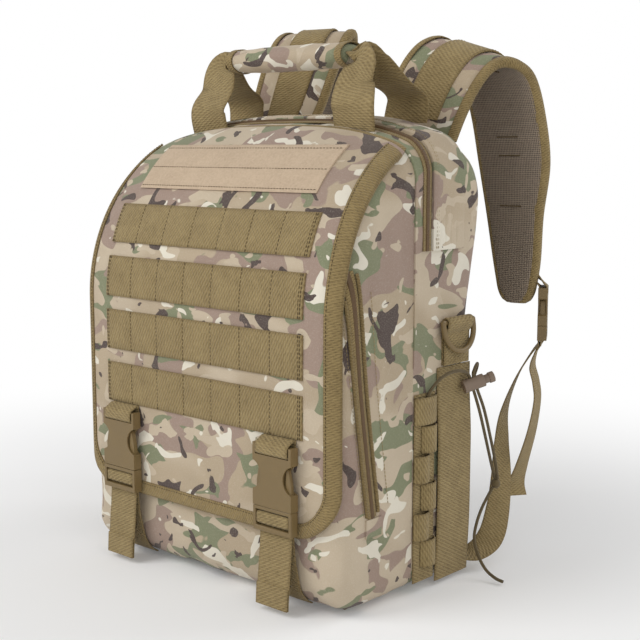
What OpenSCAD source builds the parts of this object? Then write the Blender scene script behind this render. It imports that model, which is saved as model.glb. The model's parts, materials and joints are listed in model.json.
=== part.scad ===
// Backpack with a webbing-faced front flap, drawn at full size in millimetres.
// Origin: middle of the base's resting face. +X is the wearer's left as the pack faces the viewer,
// +Y runs from the flap to the wearer's back, +Z is up.

/* [Bag] */
// Width across the sides
bag_w = 330; // [300:5:380]
// Radius of the edges where the sides meet the front, top and back
side_r = 20; // [12:1:24]
// How far the top falls from the middle to the sides
crown = 26; // [0:1:32]
// Thickness of the padded walls
wall = 3; // [2:0.5:5]
// Thickness of the base panel
base_t = 3; // [2:0.5:5]
// Distance of the back edge from the middle at the base
back_low = 83; // [75:1:95]
// Distance of the back edge from the middle at the shoulders
back_high = 111; // [100:1:125]
// Height where the back starts to round over to the top
shoulder_z = 347; // [320:1:360]

/* [Front curve] */
// Distance of the flap's outer face in front of the middle
front_y = 98; // [90:1:110]
// Depth of the curve from the flap's face to the top
curve_a = 150; // [140:1:165]
// Height of the curve
curve_b = 178; // [165:1:190]
// Height where the front starts to curve back
curve_z = 250; // [235:1:265]
// Position of the seam between the two compartments
seam_y = 3; // [0:0.5:4]

/* [Flap] */
// Width of the flap
flap_w = 324; // [300:2:328]
// Height of the flap's lower edge above the ground
flap_z = 68; // [60:1:90]
// Thickness of the flap
flap_t = 3; // [2:0.5:4]
// Radius of the flap's lower corners
flap_r = 45; // [30:1:60]
// Width of the binding around the flap's edge
binding_w = 12; // [8:1:20]
// Thickness of the binding
binding_t = 1.2; // [0.8:0.1:2]
// Angle on the front curve where the flap is sewn to the bag
hinge_t = 68; // [62:0.5:68.5]

/* [Webbing] */
// Height of a row of webbing
web_w = 38; // [25:1:50]
// Thickness of the webbing
web_t = 2; // [1.5:0.1:2.5]
// Distance from one row to the next
row_pitch = 51; // [48:1:60]
// Height of the lowest row's lower edge
row_z = 153; // [145:1:165]
// Length of the rows
row_l = 256; // [220:2:280]
// Width of the loop panel
panel_w = 228; // [200:2:250]

/* [Buckles] */
// Width of the webbing in the flap's buckles
buckle_web = 38; // [25:1:40]
// Distance of each flap buckle from the middle
buckle_x = 102; // [80:1:115]
// Height of the joint between the two buckle halves
buckle_z = 92; // [88:1:96]
// Width of the lower straps' webbing
lower_web = 25; // [20:1:30]

/* [Sides] */
// Width of the wide strip on each side
strip_w = 50; // [40:1:60]
// Height of the top of the wide strip
strip_z = 201; // [180:1:210]
// Distance of the wide strip's front edge from the middle
strip_y = 36; // [34:1:40]
// Width of each column of side loops
loop_w = 20; // [16:1:22]
// Height of each side loop
loop_h = 26; // [20:1:28]
// Outer width of the D-rings
ring_w = 50; // [46:1:56]
// Thickness of the D-rings' wire
ring_d = 5; // [4:0.5:6]

/* [Handle] */
// Length of the handle's wrap
wrap_l = 150; // [110:2:160]
// Height of the middle of the wrap
wrap_z = 478; // [468:1:495]
// Distance of the handle loops' feet from the middle
foot_x = 95; // [88:1:110]

/* [Shoulder straps] */
// Width of the straps at the top
pad_top_w = 84; // [70:1:90]
// Width of the straps at the tip
pad_tip_w = 34; // [30:1:60]
// Thickness of the padding
pad_t = 9; // [6:0.5:12]
// Thickness of the mesh lining
mesh_t = 2.5; // [1.5:0.5:4]
// Distance of the straps' seams from the middle
pad_x = 92; // [80:1:100]

/* [Cord] */
// Diameter of the bungee cord
cord_d = 3; // [2.5:0.1:3]

/* [Hidden] */

$fn = 48;
clear = 0.3; // gap between pieces that lie against each other
tan = [0.52, 0.44, 0.30];
sand = [0.70, 0.64, 0.54];
plastic = [0.50, 0.43, 0.31];
dark = [0.33, 0.29, 0.25];

half_w = bag_w / 2;
top_y = curve_a - front_y; // where the front curve reaches the top
flap_gap = 1.5; // room between the flap and the bag
skin = flap_t + flap_gap; // the bag's own front lies this far inside the flap's outer face
bottom_r = 30; // radius of the front's lower edge
back_r = 22; // radius of the back's lower edge
waist_z = 200; // the back leans out above this height
waist_y = back_low + 4;
back_top_y = top_y + 6; // middle of the curve from the back to the top
hinge = curve_point(0, hinge_t);
bead_r = 2; // radius of the beads that the flap and the straps turn on

// ---- curves ----
function curve_point(g, t) = [top_y - (curve_a - g) * cos(t), curve_z + (curve_b - g) * sin(t)];
function body_point(i, drop, t) =
    [top_y - (curve_a - skin - i) * cos(t), curve_z + (curve_b - skin - i - drop) * sin(t)];
function seam_t(i, y) = acos((top_y - y) / (curve_a - skin - i));
function arc(c, r, a0, a1, n) =
    [for (k = [0 : n]) let (a = a0 + (a1 - a0) * k / n) c + r * [cos(a), sin(a)]];
function unit(v) = v / norm(v);
function catmull(a, b, c, d, s) =
    0.5 * (2 * b + (c - a) * s + (2 * a - 5 * b + 4 * c - d) * s * s + (3 * b - a - 3 * c + d) * s * s * s);
function smooth_path(p, n) = let (e = len(p) - 1)
    [for (i = [0 : e - 1], k = [0 : n - 1])
         catmull(p[max(i - 1, 0)], p[i], p[i + 1], p[min(i + 2, e)], k / n), p[e]];
function xyz(p) = [p[0], p[1], p[2]];
function along(p, i) = let (e = len(p) - 1)
    unit(xyz(p[min(i + 1, e)]) - xyz(p[max(i - 1, 0)]));

// Outline of the front compartment in the YZ plane, inset by i, its top lowered by drop and its
// seam face moved in by s
function front_outline(i, drop, s) = let (t = seam_t(i, seam_y - max(s, 0)), end = body_point(i, drop, t))
    concat([[seam_y - s, base_t + i]], s < 0 ? [[seam_y - s, end[1]]] : [],
           [for (k = [0 : 14]) body_point(i, drop, t * (1 - k / 14))],
           arc([skin + bottom_r - front_y, base_t + bottom_r], bottom_r - i, 180, 270, 5));

// Outline of the main compartment in the same way
function main_outline(i, drop, s) = let (t = seam_t(i, seam_y + max(s, 0)), end = body_point(i, drop, t))
    concat([[seam_y + s, base_t + i]],
           arc([back_low - back_r, base_t + back_r], back_r - i, -90, 0, 4),
           [[waist_y - i, waist_z]],
           [for (k = [0 : 9]) [back_top_y + (back_high - back_top_y - i) * cos(k * 10),
                shoulder_z + (curve_z + curve_b - skin - shoulder_z - i - drop) * sin(k * 10)]],
           [for (k = [0 : 3]) body_point(i, drop, 90 + (t - 90) * k / 3)],
           s < 0 ? [[seam_y + s, end[1]]] : []);

// ---- solids ----
// A closed skin through rings of points that run anticlockwise about the way they follow. From
// point number turn on, each four-sided patch is split along its other diagonal. With a hub in the
// YZ plane, each end is closed by triangles that meet there
module loft(rings, turn = 10000, hub = []) {
    n = len(rings[0]);
    m = len(rings);
    rims = [[for (i = [0 : n - 1]) i], [for (i = [n - 1 : -1 : 0]) (m - 1) * n + i]];
    hubs = hub == [] ? [] : [for (r = [rings[0], rings[m - 1]]) [r[0][0], hub[0], hub[1]]];
    polyhedron(
        points = concat([for (r = rings, p = r) p], hubs),
        faces = concat(
            hub == [] ? rims
                : [for (e = [0, 1], i = [0 : n - 1]) [rims[e][i], rims[e][(i + 1) % n], m * n + e]],
            [for (j = [0 : m - 2], i = [0 : n - 1])
                [j * n + i, (j + 1) * n + i, i < turn ? (j + 1) * n + (i + 1) % n : j * n + (i + 1) % n]],
            [for (j = [0 : m - 2], i = [0 : n - 1])
                [i < turn ? j * n + i : (j + 1) * n + i, (j + 1) * n + (i + 1) % n, j * n + (i + 1) % n]]));
}

function at_x(x, outline) = [for (p = outline) [x, p[0], p[1]]];

// Stations across the bag from the side to the middle: [half width, inset and drop of the outline]
function stations(h) = let (r = max(side_r + h, 1), w = half_w + h)
    [for (s = concat([for (a = [0 : 30 : 60]) [w - r + r * cos(a), r - h - r * sin(a)]],
                     [for (f = [1, 0.8, 0.58]) [f * (w - r), -h]]))
        [s[0], s[1], crown * pow(s[0] / w, 3)]];
function reversed(v) = [for (k = [len(v) - 1 : -1 : 0]) v[k]];

// The outer shape of each compartment, grown by h and cut back by s at the seam between them
module front_body(h, s)
    loft(concat([for (w = stations(h)) at_x(-w[0], front_outline(w[1], w[2], s))],
                [at_x(0, front_outline(-h, 0, s))],
                [for (w = reversed(stations(h))) at_x(w[0], front_outline(w[1], w[2], s))]),
         hub = [-40, 180]);

module main_body(h, s)
    loft(concat([for (w = stations(h)) at_x(-w[0], main_outline(w[1], w[2], s))],
                [at_x(0, main_outline(-h, 0, s))],
                [for (w = reversed(stations(h))) at_x(w[0], main_outline(w[1], w[2], s))]),
         hub = [45, 200]);

// Extrudes a YZ outline from x0 to x1
module prism_x(x0, x1)
    translate([x0, 0, 0]) rotate([90, 0, 90]) linear_extrude(x1 - x0) children();

// Extrudes an XZ outline from y0 to y1
module prism_y(y0, y1)
    translate([0, y1, 0]) rotate([90, 0, 0]) linear_extrude(y1 - y0) children();

// A strip of even thickness along a line of points in the plane
module ribbon(p, t) {
    e = len(p) - 1;
    side = [for (i = [0 : e])
        let (u = unit(p[max(i, 1)] - p[max(i, 1) - 1]), v = unit(p[min(i, e - 1) + 1] - p[min(i, e - 1)]),
             n = [-u[1] - v[1], u[0] + v[0]])
        n * t / (n * [-u[1], u[0]]) / 2];
    polygon(concat([for (i = [0 : e]) p[i] + side[i]], [for (i = [e : -1 : 0]) p[i] - side[i]]));
}

module on_right(right) {
    if (right) children();
    else mirror([1, 0, 0]) children();
}

// A band swept along a path of [x, y, z, turn, roll, width], from depth v0 to depth v1: turn is the
// width's direction about Z and roll is how far it rises; square = 1 turns the width square to the
// path. Columns are halves of the width, less an inset each, so that layers share their facets
module band(path, columns, v0, v1, steps, square = 1, skip = 0) {
    p = smooth_path(path, steps);
    loft([for (i = [skip : len(p) - 1])
        let (t = along(p, i), a = [cos(p[i][3]), sin(p[i][3]), p[i][4]],
             u = unit(a - square * (a * t) * t), v = unit(cross(t, u)), c = xyz(p[i]),
             half = [for (q = columns) min(p[i][5] / 2 - q[0], q[1])],
             line = concat(half, [for (k = [len(half) - 1 : -1 : 0]) -half[k]]))
        concat([for (w = line) c + u * w + v * v1],
               [for (k = [len(line) - 1 : -1 : 0]) c + u * line[k] + v * v0])],
        2 * len(columns));
}

module tube(path, r, steps) {
    p = smooth_path(path, steps);
    loft([for (i = [0 : len(p) - 1])
        let (t = along(p, i), u = unit(cross(t, [0.2, 1, 0.1])), v = cross(t, u))
        [for (k = [0 : 7]) xyz(p[i]) + r * (cos(k * 45) * u + sin(k * 45) * v)]]);
}

// ---- bag ----
module base_panel() color(tan) {
    y0 = skin + bottom_r - front_y;
    y1 = back_low - back_r;
    translate([side_r - half_w, y0, 0]) cube([bag_w - 2 * side_r, y1 - y0, base_t]);
}

module front_compartment() color(sand)
    difference() {
        front_body(0, 0);
        front_body(-wall, wall);
    }

module main_compartment() color(sand)
    difference() {
        main_body(0, 0);
        main_body(-wall, wall);
    }

// A layer of thickness h on the main compartment, kept inside its children
module main_layer(h)
    difference() {
        intersection() {
            main_body(h, 0);
            children();
        }
        main_body(0, -1);
    }

module front_layer(h)
    difference() {
        intersection() {
            front_body(h, 0);
            children();
        }
        front_body(0, -1);
    }

back_pad_t = 6;
back_pad_w = 250;
module back_pad() color(dark)
    main_layer(back_pad_t)
        translate([-back_pad_w / 2, top_y, 22]) cube([back_pad_w, 80, shoulder_z - 12]);

storm_t = 3;
storm_y = 27; // the storm flap's free edge
storm_z = 306; // the seam where it ends on the sides
module storm_flap() color(sand)
    main_layer(storm_t)
        translate([-bag_w, storm_y, storm_z]) cube([2 * bag_w, back_top_y - storm_y + 14, 200]);

zip_w = 11;
main_zip_y = 20;
tape_t = 0.9;
teeth_t = 2;
teeth_w = 4;
teeth_low = 2; // the teeth start this far up the tape
module zip_box(w, low) translate([-bag_w, main_zip_y - w / 2, storm_z + low]) cube([2 * bag_w, w, 200]);
module main_zip() {
    color(tan) main_layer(tape_t) zip_box(zip_w, 0);
    color(dark) main_layer(teeth_t) zip_box(teeth_w, teeth_low);
}

welt_t = flap_gap - clear; // the flap's top corners pass over it
module seam_welt() color(sand)
    main_layer(welt_t) translate([-bag_w, seam_y + clear, strip_z + 4]) cube([2 * bag_w, 2.2, 300]);

// The front zip runs up each side and across the front under the flap
zip_low = [-52, 84];
zip_mid = [-68, 188];
zip_line = [zip_low, zip_mid, [-77, 270], [-86, 322], [-120, 345]];
module zip_band(w, shift, low = 0)
    prism_x(-bag_w, bag_w) translate([shift, 0])
        ribbon(concat([zip_low + low * unit(zip_mid - zip_low)], [for (i = [1 : 4]) zip_line[i]]), w);
front_teeth_t = flap_gap - clear; // the teeth run on under the flap
module front_zip() {
    color(tan) front_layer(tape_t) zip_band(zip_w, 0);
    color(dark) front_layer(front_teeth_t) zip_band(teeth_w, 0, teeth_low);
}

// Piping lies on the sides only, so that the flap closes flat over the front
piping_w = 3;
module zip_piping() color(tan)
    for (s = [-1, 1]) front_layer(2.6)
        intersection() {
            zip_band(piping_w, s * (zip_w + piping_w) / 2 + s * 0.2);
            union() for (x = [-1, 1]) translate([x * (half_w - 1.5 + bag_w / 2), 0, 200])
                cube([bag_w, 300, 600], center = true);
        }

tab_h = 16;
module zip_end_tabs() color(sand)
    front_layer(1.6) prism_x(-bag_w, bag_w)
        translate([zip_low[0] - 9, zip_low[1] - tab_h - 0.6]) square([20, tab_h]);

// The flap's seam allowance, sewn to the bag behind the hinge
seam_l = flap_w - 14;
module flap_seam() color(tan)
    difference() {
        front_layer(2.4) prism_x(-seam_l / 2, seam_l / 2)
            polygon([curve_point(20, hinge_t + 1.2), curve_point(-9, hinge_t + 1.2),
                     curve_point(-9, hinge_t + 3.2), curve_point(20, hinge_t + 3.2)]);
        prism_x(-half_w, half_w) translate(hinge) circle(r = 3.6);
    }

// ---- handle ----
grip = [28, wrap_z]; // y and z of the middle of the wrap
wrap_y = 34;
wrap_h = 22;
handle_w = 48; // the loops' webbing
leg_end_w = 22; // and its width where it is gathered into the wrap
leg_end_x = wrap_l / 2 + 13.4;
front_foot = [foot_x - 2, 9, curve_z + curve_b - skin - 10];
rear_foot = [foot_x + 9, back_top_y + 8, curve_z + curve_b - skin - 2];
module handle_leg(foot, bow)
    band([[foot[0], foot[1], foot[2], 12, -0.12, handle_w],
          [foot[0] + 0.5, foot[1] + 0.7 * bow, foot[2] + 18, 12, -0.1, handle_w],
          [foot[0] - 5, (foot[1] + grip[0]) / 2 + bow, (foot[2] + wrap_z) / 2 + 5, 12, 0, 0.92 * handle_w],
          [leg_end_x + 3, grip[0] - sign(grip[0] - foot[1]) * 9, wrap_z - 9, 12, 0.3, 0.75 * handle_w],
          [leg_end_x, grip[0] - sign(grip[0] - foot[1]) * 5, wrap_z + 1, 0, 0.7, leg_end_w]],
         [[0, handle_w]], -web_t / 2, web_t / 2, 3);
module handle_loop(right) color(tan)
    on_right(right) {
        difference() {
            handle_leg(front_foot, -6);
            main_body(welt_t, -1);
        }
        difference() {
            handle_leg(rear_foot, 2);
            main_body(storm_t, -1);
        }
    }
module handle_loop_left() handle_loop(false);
module handle_loop_right() handle_loop(true);

module handle_wrap() color(sand)
    prism_x(-wrap_l / 2, wrap_l / 2)
        polygon([for (k = [0 : 23]) grip + [wrap_y / 2 * cos(k * 15), wrap_h / 2 * sin(k * 15)]]);

// ---- sides ----
side_x = half_w;
strip_rise = 2.6; // the strip stands off the side by this much in the middle
module side_strip(right) color(tan)
    on_right(right) prism_y(strip_y, strip_y + strip_w)
        ribbon([[side_x + 1.1, 4.5], [side_x + 2.2, 22], [side_x + 1.2 + strip_rise, 60],
                [side_x + 1.2 + strip_rise, 140], [side_x + 1.3, 176], [side_x + 1.1, strip_z]], web_t);
module side_strip_left() side_strip(false);
module side_strip_right() side_strip(true);

// D-ring and the folded webbing that holds it
ring_y = strip_y + strip_w - ring_w / 2 + 1;
bar_z = strip_z + 40;
bar_x = side_x + web_t + clear + ring_d / 2;
fold_r = ring_d / 2 + clear + web_t / 2;
module ring_loop(right) color(tan)
    on_right(right) prism_y(ring_y - web_w / 2, ring_y + web_w / 2)
        ribbon(concat([[bar_x - fold_r, strip_z + 1.5]],
                      arc([bar_x, bar_z], fold_r, 180, 0, 8),
                      [[bar_x + fold_r - 1.4, bar_z - 4], [side_x + 1.62 * web_t + 0.1, bar_z - 9.5],
                       [side_x + 1.62 * web_t, strip_z + 1.5]]), web_t);
module ring_loop_left() ring_loop(false);
module ring_loop_right() ring_loop(true);

ring_half = (ring_w - ring_d) / 2;
ring_leg = 4.5;
ring_lean = 9; // degrees that the ring leans out over its webbing
module d_ring(right) color(plastic)
    on_right(right) translate([bar_x, ring_y, bar_z]) rotate([0, -ring_lean, 0]) {
        rotate([90, 0, 0]) cylinder(d = ring_d, h = 2 * ring_half, center = true);
        for (s = [-1, 1]) translate([0, s * ring_half, 0]) {
            sphere(d = ring_d);
            translate([0, 0, -ring_leg]) cylinder(d = ring_d, h = ring_leg);
        }
        translate([0, 0, -ring_leg]) rotate([90, 0, -90]) rotate([0, 0, 180])
            rotate_extrude(angle = 180) translate([ring_half, 0]) circle(d = ring_d);
    }
module d_ring_left() d_ring(false);
module d_ring_right() d_ring(true);

// Two columns of stitched webbing loops, stepped against each other under one wide loop
ladder_y = strip_y - 1.6 * loop_w;
ladder_z = strip_z - 48; // underside of the wide loop
loop_rise = 5.6;
module side_loop(y, z, w) {
    s = loop_rise;
    r = (w * w / 4 + s * s) / (2 * s);
    translate([side_x + 1.5, y + w / 2, z]) linear_extrude(loop_h) intersection() {
        difference() {
            translate([s - r, 0]) circle(r = r);
            translate([s - r, 0]) circle(r = r - web_t);
        }
        translate([0, -w / 2]) square([s + 1, w]);
    }
}
module ladder(right) color(tan)
    on_right(right) {
        translate([side_x, ladder_y, 10]) cube([1.5, 1.5 * loop_w, ladder_z + loop_h - 8]);
        side_loop(ladder_y, ladder_z, 1.5 * loop_w);
        for (k = [1 : 5]) side_loop(ladder_y + (k % 2) * loop_w / 2, ladder_z - k * (loop_h + 0.1), loop_w);
    }
module ladder_left() ladder(false);
module ladder_right() ladder(true);

// ---- buckles ----
buckle_t = 9;
function buckle_half(web) = web / 2 + 3.5;
function buckle_k(web) = web / buckle_web; // lengths follow the webbing's width
module buckle_female(web) {
    b = buckle_half(web);
    k = buckle_k(web);
    l = 55 * k;
    prong_in = 12.6 * k;
    prong_out = 20.6 * k;
    color(plastic) difference() {
        translate([-b, 0, 0]) cube([2 * b, l, buckle_t]);
        for (s = [-1, 1]) {
            translate([s * (b + 3.5 * k), 27 * k, -1]) cylinder(r = 13 * k, h = buckle_t + 2);
            translate([s * (prong_in + prong_out) / 2 - (prong_out - prong_in) / 2, -1, 2])
                cube([prong_out - prong_in, 41 * k, buckle_t - 4]);
        }
        translate([-5.2 * k, -1, 2.4]) cube([10.4 * k, 24 * k, buckle_t - 4.8]);
        translate([-web / 2 - 0.5, 45 * k, -1]) cube([web + 1, 6.3 * k, buckle_t + 2]);
        translate([-web / 2 - 0.5, 51 * k, -1]) cube([web + 1, 5 * k, 3.3]);
        translate([-web / 2 - 0.5, 51 * k, 6.7]) cube([web + 1, 5 * k, 3]);
    }
}

module buckle_male(web) {
    b = buckle_half(web);
    k = buckle_k(web);
    low = -22 * k;
    color(plastic) {
        difference() {
            translate([-b, low, 0]) cube([2 * b, -low - clear, buckle_t]);
            translate([-web / 2 - 0.5, -8.2 * k - 0.4, -1]) cube([web + 1, 4.6 * k + 0.4, buckle_t + 2]);
            translate([-web / 2 - 0.5, -17.6 * k, -1]) cube([web + 1, 5 * k, buckle_t + 2]);
            translate([-web / 2 - 0.5, -13.5 * k, -1]) cube([web + 1, 6 * k, 5.6]);
            translate([-web / 2 - 0.5, -13.5 * k, 6.8]) cube([web + 1, 6 * k, 3]);
            translate([-web / 2 - 0.5, low - 1, -1]) cube([web + 1, 6 * k, 5.6]);
        }
        translate([0, -clear, 2.4 + clear]) linear_extrude(buckle_t - 4.8 - 2 * clear)
            translate([-4.8 * k, -0.1]) square([9.6 * k, 21 * k]);
        for (s = [-1, 1]) translate([0, -clear, 2 + clear]) linear_extrude(buckle_t - 4 - 2 * clear)
            polygon([for (p = [[13, -0.1], [20.2, -0.1], [20.2, 22], [17.6, 34], [15.8, 37],
                               [14.2, 34], [13.6, 22]])
                [s * p[0] * k, p[1] > 0 ? p[1] * k : p[1]]]);
    }
}

// Stands a buckle up with its back against the plane y
module on_front(x, y, z) translate([x, y, z]) rotate([90, 0, 0]) children();

buckle_y = -front_y - web_t - clear; // the flap buckles' backs
module flap_buckle_female_left() on_front(-buckle_x, buckle_y, buckle_z) buckle_female(buckle_web);
module flap_buckle_female_right() on_front(buckle_x, buckle_y, buckle_z) buckle_female(buckle_web);
module flap_buckle_male_left() on_front(-buckle_x, buckle_y, buckle_z) buckle_male(buckle_web);
module flap_buckle_male_right() on_front(buckle_x, buckle_y, buckle_z) buckle_male(buckle_web);

// The webbing that ties a female half to the flap, folded round its top bar
module flap_buckle_web(x) color(tan)
    prism_x(x - buckle_web / 2, x + buckle_web / 2) {
        z = buckle_z + 45;
        difference() {
            polygon([[-front_y - 0.05, row_z - 0.2], [-front_y - 0.05, z + 0.4],
                     [buckle_y - buckle_t + 0.2, z + 0.4], [buckle_y - buckle_t + 0.2, z + 10.6],
                     [-front_y - web_t, row_z - 0.2]]);
            polygon([[-front_y - web_t, z + 2.4], [buckle_y - buckle_t + 2.2, z + 2.4],
                     [buckle_y - buckle_t + 2.2, z + 10.1], [-front_y - web_t, z + 13.4]]);
        }
    }
module flap_buckle_web_left() flap_buckle_web(-buckle_x);
module flap_buckle_web_right() flap_buckle_web(buckle_x);

// One length of webbing: sewn under the front, threaded round the male half's bar, then hanging free
module flap_strap(x) color(tan) {
    c = [skin + bottom_r - front_y, base_t + bottom_r];
    b = buckle_y;
    prism_x(x - buckle_web / 2, x + buckle_web / 2)
        ribbon(concat([for (a = [243, 222, 200]) c + (bottom_r + 1.7) * [cos(a), sin(a)]],
                      [[b - 1.2, flap_z - 2], [b - 1.2, buckle_z - 5.6], [b - 8, buckle_z - 5.6],
                       [b - 8, buckle_z - 15.3], [b - 3.4, buckle_z - 15.3], [b - 3.4, 68],
                       [b - 5, 50], [b - 7, 26], [b - 8.5, 5]]), web_t - 0.2);
}
module flap_strap_left() flap_strap(-buckle_x);
module flap_strap_right() flap_strap(buckle_x);

// ---- flap ----
module flap_outline(inset) {
    w = flap_w / 2 - inset;
    z = flap_z + inset;
    r = flap_r - inset;
    shoulder = curve_z + 50; // the flap narrows above here
    translate([-w + r, z]) square([2 * (w - r), 2 * r]);
    for (s = [-1, 1]) translate([s * (w - r), z + r]) circle(r = r);
    polygon([[-w, z + r], [w, z + r], [w, shoulder], [w - flap_taper, hinge[1] + 20],
             [-w + flap_taper, hinge[1] + 20], [-w, shoulder]]);
}
flap_taper = 5;

// Everything in front of the line from the curve's middle through the hinge
module before_hinge(t)
    prism_x(-bag_w, bag_w)
        polygon([[top_y, curve_z], curve_point(-40, t), [-2 * bag_w, 2 * curve_z], [-2 * bag_w, 0], [top_y, 0]]);

module flap_layer(h0, h1, inset)
    difference() {
        intersection() {
            front_body(h1, -20);
            prism_y(-300, 100) flap_outline(inset);
            before_hinge(hinge_t);
        }
        front_body(h0, -20);
    }

flap_bead = curve_point(flap_t / 2, hinge_t);
bead_l = 120; // the flap turns on its middle, because its ends lie lower
module flap_panel() color(sand) {
    flap_layer(flap_gap, skin, 0);
    translate([-bead_l / 2, flap_bead[0], flap_bead[1]]) rotate([0, 90, 0])
        cylinder(r = bead_r, h = bead_l);
}

module flap_binding() color(tan)
    difference() {
        flap_layer(skin, skin + binding_t, 0);
        prism_y(-301, 101) flap_outline(binding_w);
    }

// A strip of thickness t on the flap's face, w wide, from height z0 to z1
module flap_strip(w, z0, z1, t)
    if (z1 <= curve_z) translate([-w / 2, -front_y - t, z0]) cube([w, t, z1 - z0]);
    else difference() {
        intersection() {
            front_body(skin + t, -20);
            prism_y(-300, 100) translate([-w / 2, z0]) square([w, z1 - z0]);
        }
        front_body(skin, -20);
    }

module webbing_row(k) color(tan)
    let (z = row_z + (4 - k) * row_pitch) flap_strip(row_l, z, z + web_w - (k == 1 ? 2 : 0), web_t);
module webbing_row_1() webbing_row(1);
module webbing_row_2() webbing_row(2);
module webbing_row_3() webbing_row(3);
module webbing_row_4() webbing_row(4);

module loop_panel() color(sand)
    flap_strip(panel_w, curve_point(0, 37)[1], curve_point(0, 56)[1], 1.6);

// ---- shoulder straps ----
strap_pivot = [back_top_y + 42, shoulder_z + 53.2]; // y and z of the seams at the top of the back
strap_lean = 6; // the seams fall towards the sides by this angle
strap_roll = -tan(strap_lean);
pad_start = pad_t / 2; // the padding starts this far above the rolled end that it is sewn to
pad_path_right = [[pad_x + 0.9, strap_pivot[0] + 0.8, strap_pivot[1] + pad_start, 0, strap_roll, pad_top_w],
                  [99, 106, 434, 6, -0.2, pad_top_w], [106, 117, 462, 10, -0.26, pad_top_w],
                  [114, 133, 481, 8, -0.3, pad_top_w], [125, 151, 484, 4, -0.3, pad_top_w],
                  [135, 168, 464, 0, -0.1, pad_top_w - 2], [142, 177, 426, 0, 0, pad_top_w - 4],
                  [149, 179, 380, 0, 0, pad_top_w - 7], [152, 178, 330, 0, 0, 0.72 * pad_top_w],
                  [156, 177, 284, 0, 0, 1.45 * pad_tip_w], [158, 175, 246, 0, 0, pad_tip_w]];
pad_path_left = [[pad_x - 1.4, strap_pivot[0] + 0.6, strap_pivot[1] + pad_start, 0, strap_roll, pad_top_w],
                 [81, 105, 434, -12, 0, pad_top_w], [73, 112, 468, -18, 0, pad_top_w],
                 [68, 124, 499, -18, 0, pad_top_w], [70, 142, 511, -12, 0, pad_top_w],
                 [79, 160, 502, -6, 0, pad_top_w - 2], [92, 174, 462, 0, 0, pad_top_w - 4],
                 [110, 180, 410, 0, 0, pad_top_w - 7], [130, 180, 350, 0, 0, 0.72 * pad_top_w],
                 [147, 178, 294, 0, 0, 1.45 * pad_tip_w], [158, 175, 246, 0, 0, pad_tip_w]];
function pad_path(right) = right ? pad_path_right : pad_path_left;

edge = [0, pad_top_w];
mesh_edge = [4, pad_top_w];
web_edge = [5, web_w / 2];
module shoulder_pad(right) color(sand)
    on_right(right) band(pad_path(right), [edge, mesh_edge, web_edge], -pad_t / 2, pad_t / 2, 2, 0);
module shoulder_pad_left() shoulder_pad(false);
module shoulder_pad_right() shoulder_pad(true);

module shoulder_mesh(right) color(dark)
    on_right(right) band(pad_path(right), [mesh_edge, web_edge], pad_t / 2, pad_t / 2 + mesh_t, 2, 0, 1);
module shoulder_mesh_left() shoulder_mesh(false);
module shoulder_mesh_right() shoulder_mesh(true);

module shoulder_webbing(right) color(tan)
    on_right(right) band(pad_path(right), [web_edge], -pad_t / 2 - web_t, -pad_t / 2, 2, 0, 1);
module shoulder_webbing_left() shoulder_webbing(false);
module shoulder_webbing_right() shoulder_webbing(true);

// The rolled seams that the straps swing on and the reinforced patches on the back below them
yoke_gap = 2.6;
yoke_h = 14;
bead = pad_t / 2 - 0.4; // radius of the rolled seams
module at_strap_seam(right)
    on_right(right) translate([pad_x, strap_pivot[0], strap_pivot[1]]) rotate([0, strap_lean, 0]) children();
module strap_yoke() color(tan) {
    main_layer(web_t) for (right = [true, false]) at_strap_seam(right)
        translate([-pad_top_w / 2, -40, -pad_t / 2 - yoke_gap - yoke_h]) cube([pad_top_w, 80, yoke_h]);
    for (right = [true, false]) at_strap_seam(right) rotate([0, 90, 0])
        cylinder(r = bead, h = pad_top_w - 2, center = true);
}

// Side-release buckle at the tip of each shoulder strap
tip_x = 176;
tip_y = 186;
tip_z = 226;
tip_turn = 120; // the buckle hangs turned about its webbing
module at_tip(right)
    on_right(right) translate([tip_x, tip_y, tip_z]) rotate([0, 0, tip_turn]) rotate([90, 0, 0]) children();
module shoulder_buckle_female_left() at_tip(false) buckle_female(lower_web);
module shoulder_buckle_female_right() at_tip(true) buckle_female(lower_web);
module shoulder_buckle_male_left() at_tip(false) buckle_male(lower_web);
module shoulder_buckle_male_right() at_tip(true) buckle_male(lower_web);

// Webbing round the bar of a male half, in the buckle's own plane
module threaded(web, t) {
    k = buckle_k(web);
    low = -22 * k - 2;
    prism_x(-web / 2, web / 2)
        ribbon([[low, 1.2], [-6.1 * k, 1.2], [-6.1 * k, 8], [-15.1 * k, 8],
                [-15.1 * k, 3.4], [low, 3.4]], t);
}

// The lower strap: from the back's lower corner up to the buckle, then its free tail
lower_t = 1.6;
lower_low = tip_z - 22 * buckle_k(lower_web) - 2;
function tip_at(w) = [tip_x + w * sin(tip_turn), tip_y - w * cos(tip_turn)];
lower_path = [[tip_at(1.2)[0], tip_at(1.2)[1], lower_low, tip_turn],
              [tip_at(1.2)[0], tip_at(1.2)[1], lower_low - 4, tip_turn],
              [171, 184, 197, 118], [158, 179, 172, 115],
              [149, 173, 140, 106], [152, 164, 110, 92], [160, 152, 78, 76], [166, 138, 48, 62],
              [170, 120, 26, 44], [165, 100, 15, 22], [150, 84.5, 13, 4]];
tail_path = [[tip_at(3.4)[0], tip_at(3.4)[1], lower_low, tip_turn],
             [tip_at(3.4)[0], tip_at(3.4)[1], lower_low - 4, tip_turn],
             [174, 188, 199, 116], [170, 188, 184, 110],
             [175, 187, 168, 108], [177, 187, 150, 106], [172, 186, 118, 100], [163, 184, 84, 92],
             [158, 182, 64, 80], [160, 180, 52, 70]];
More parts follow.
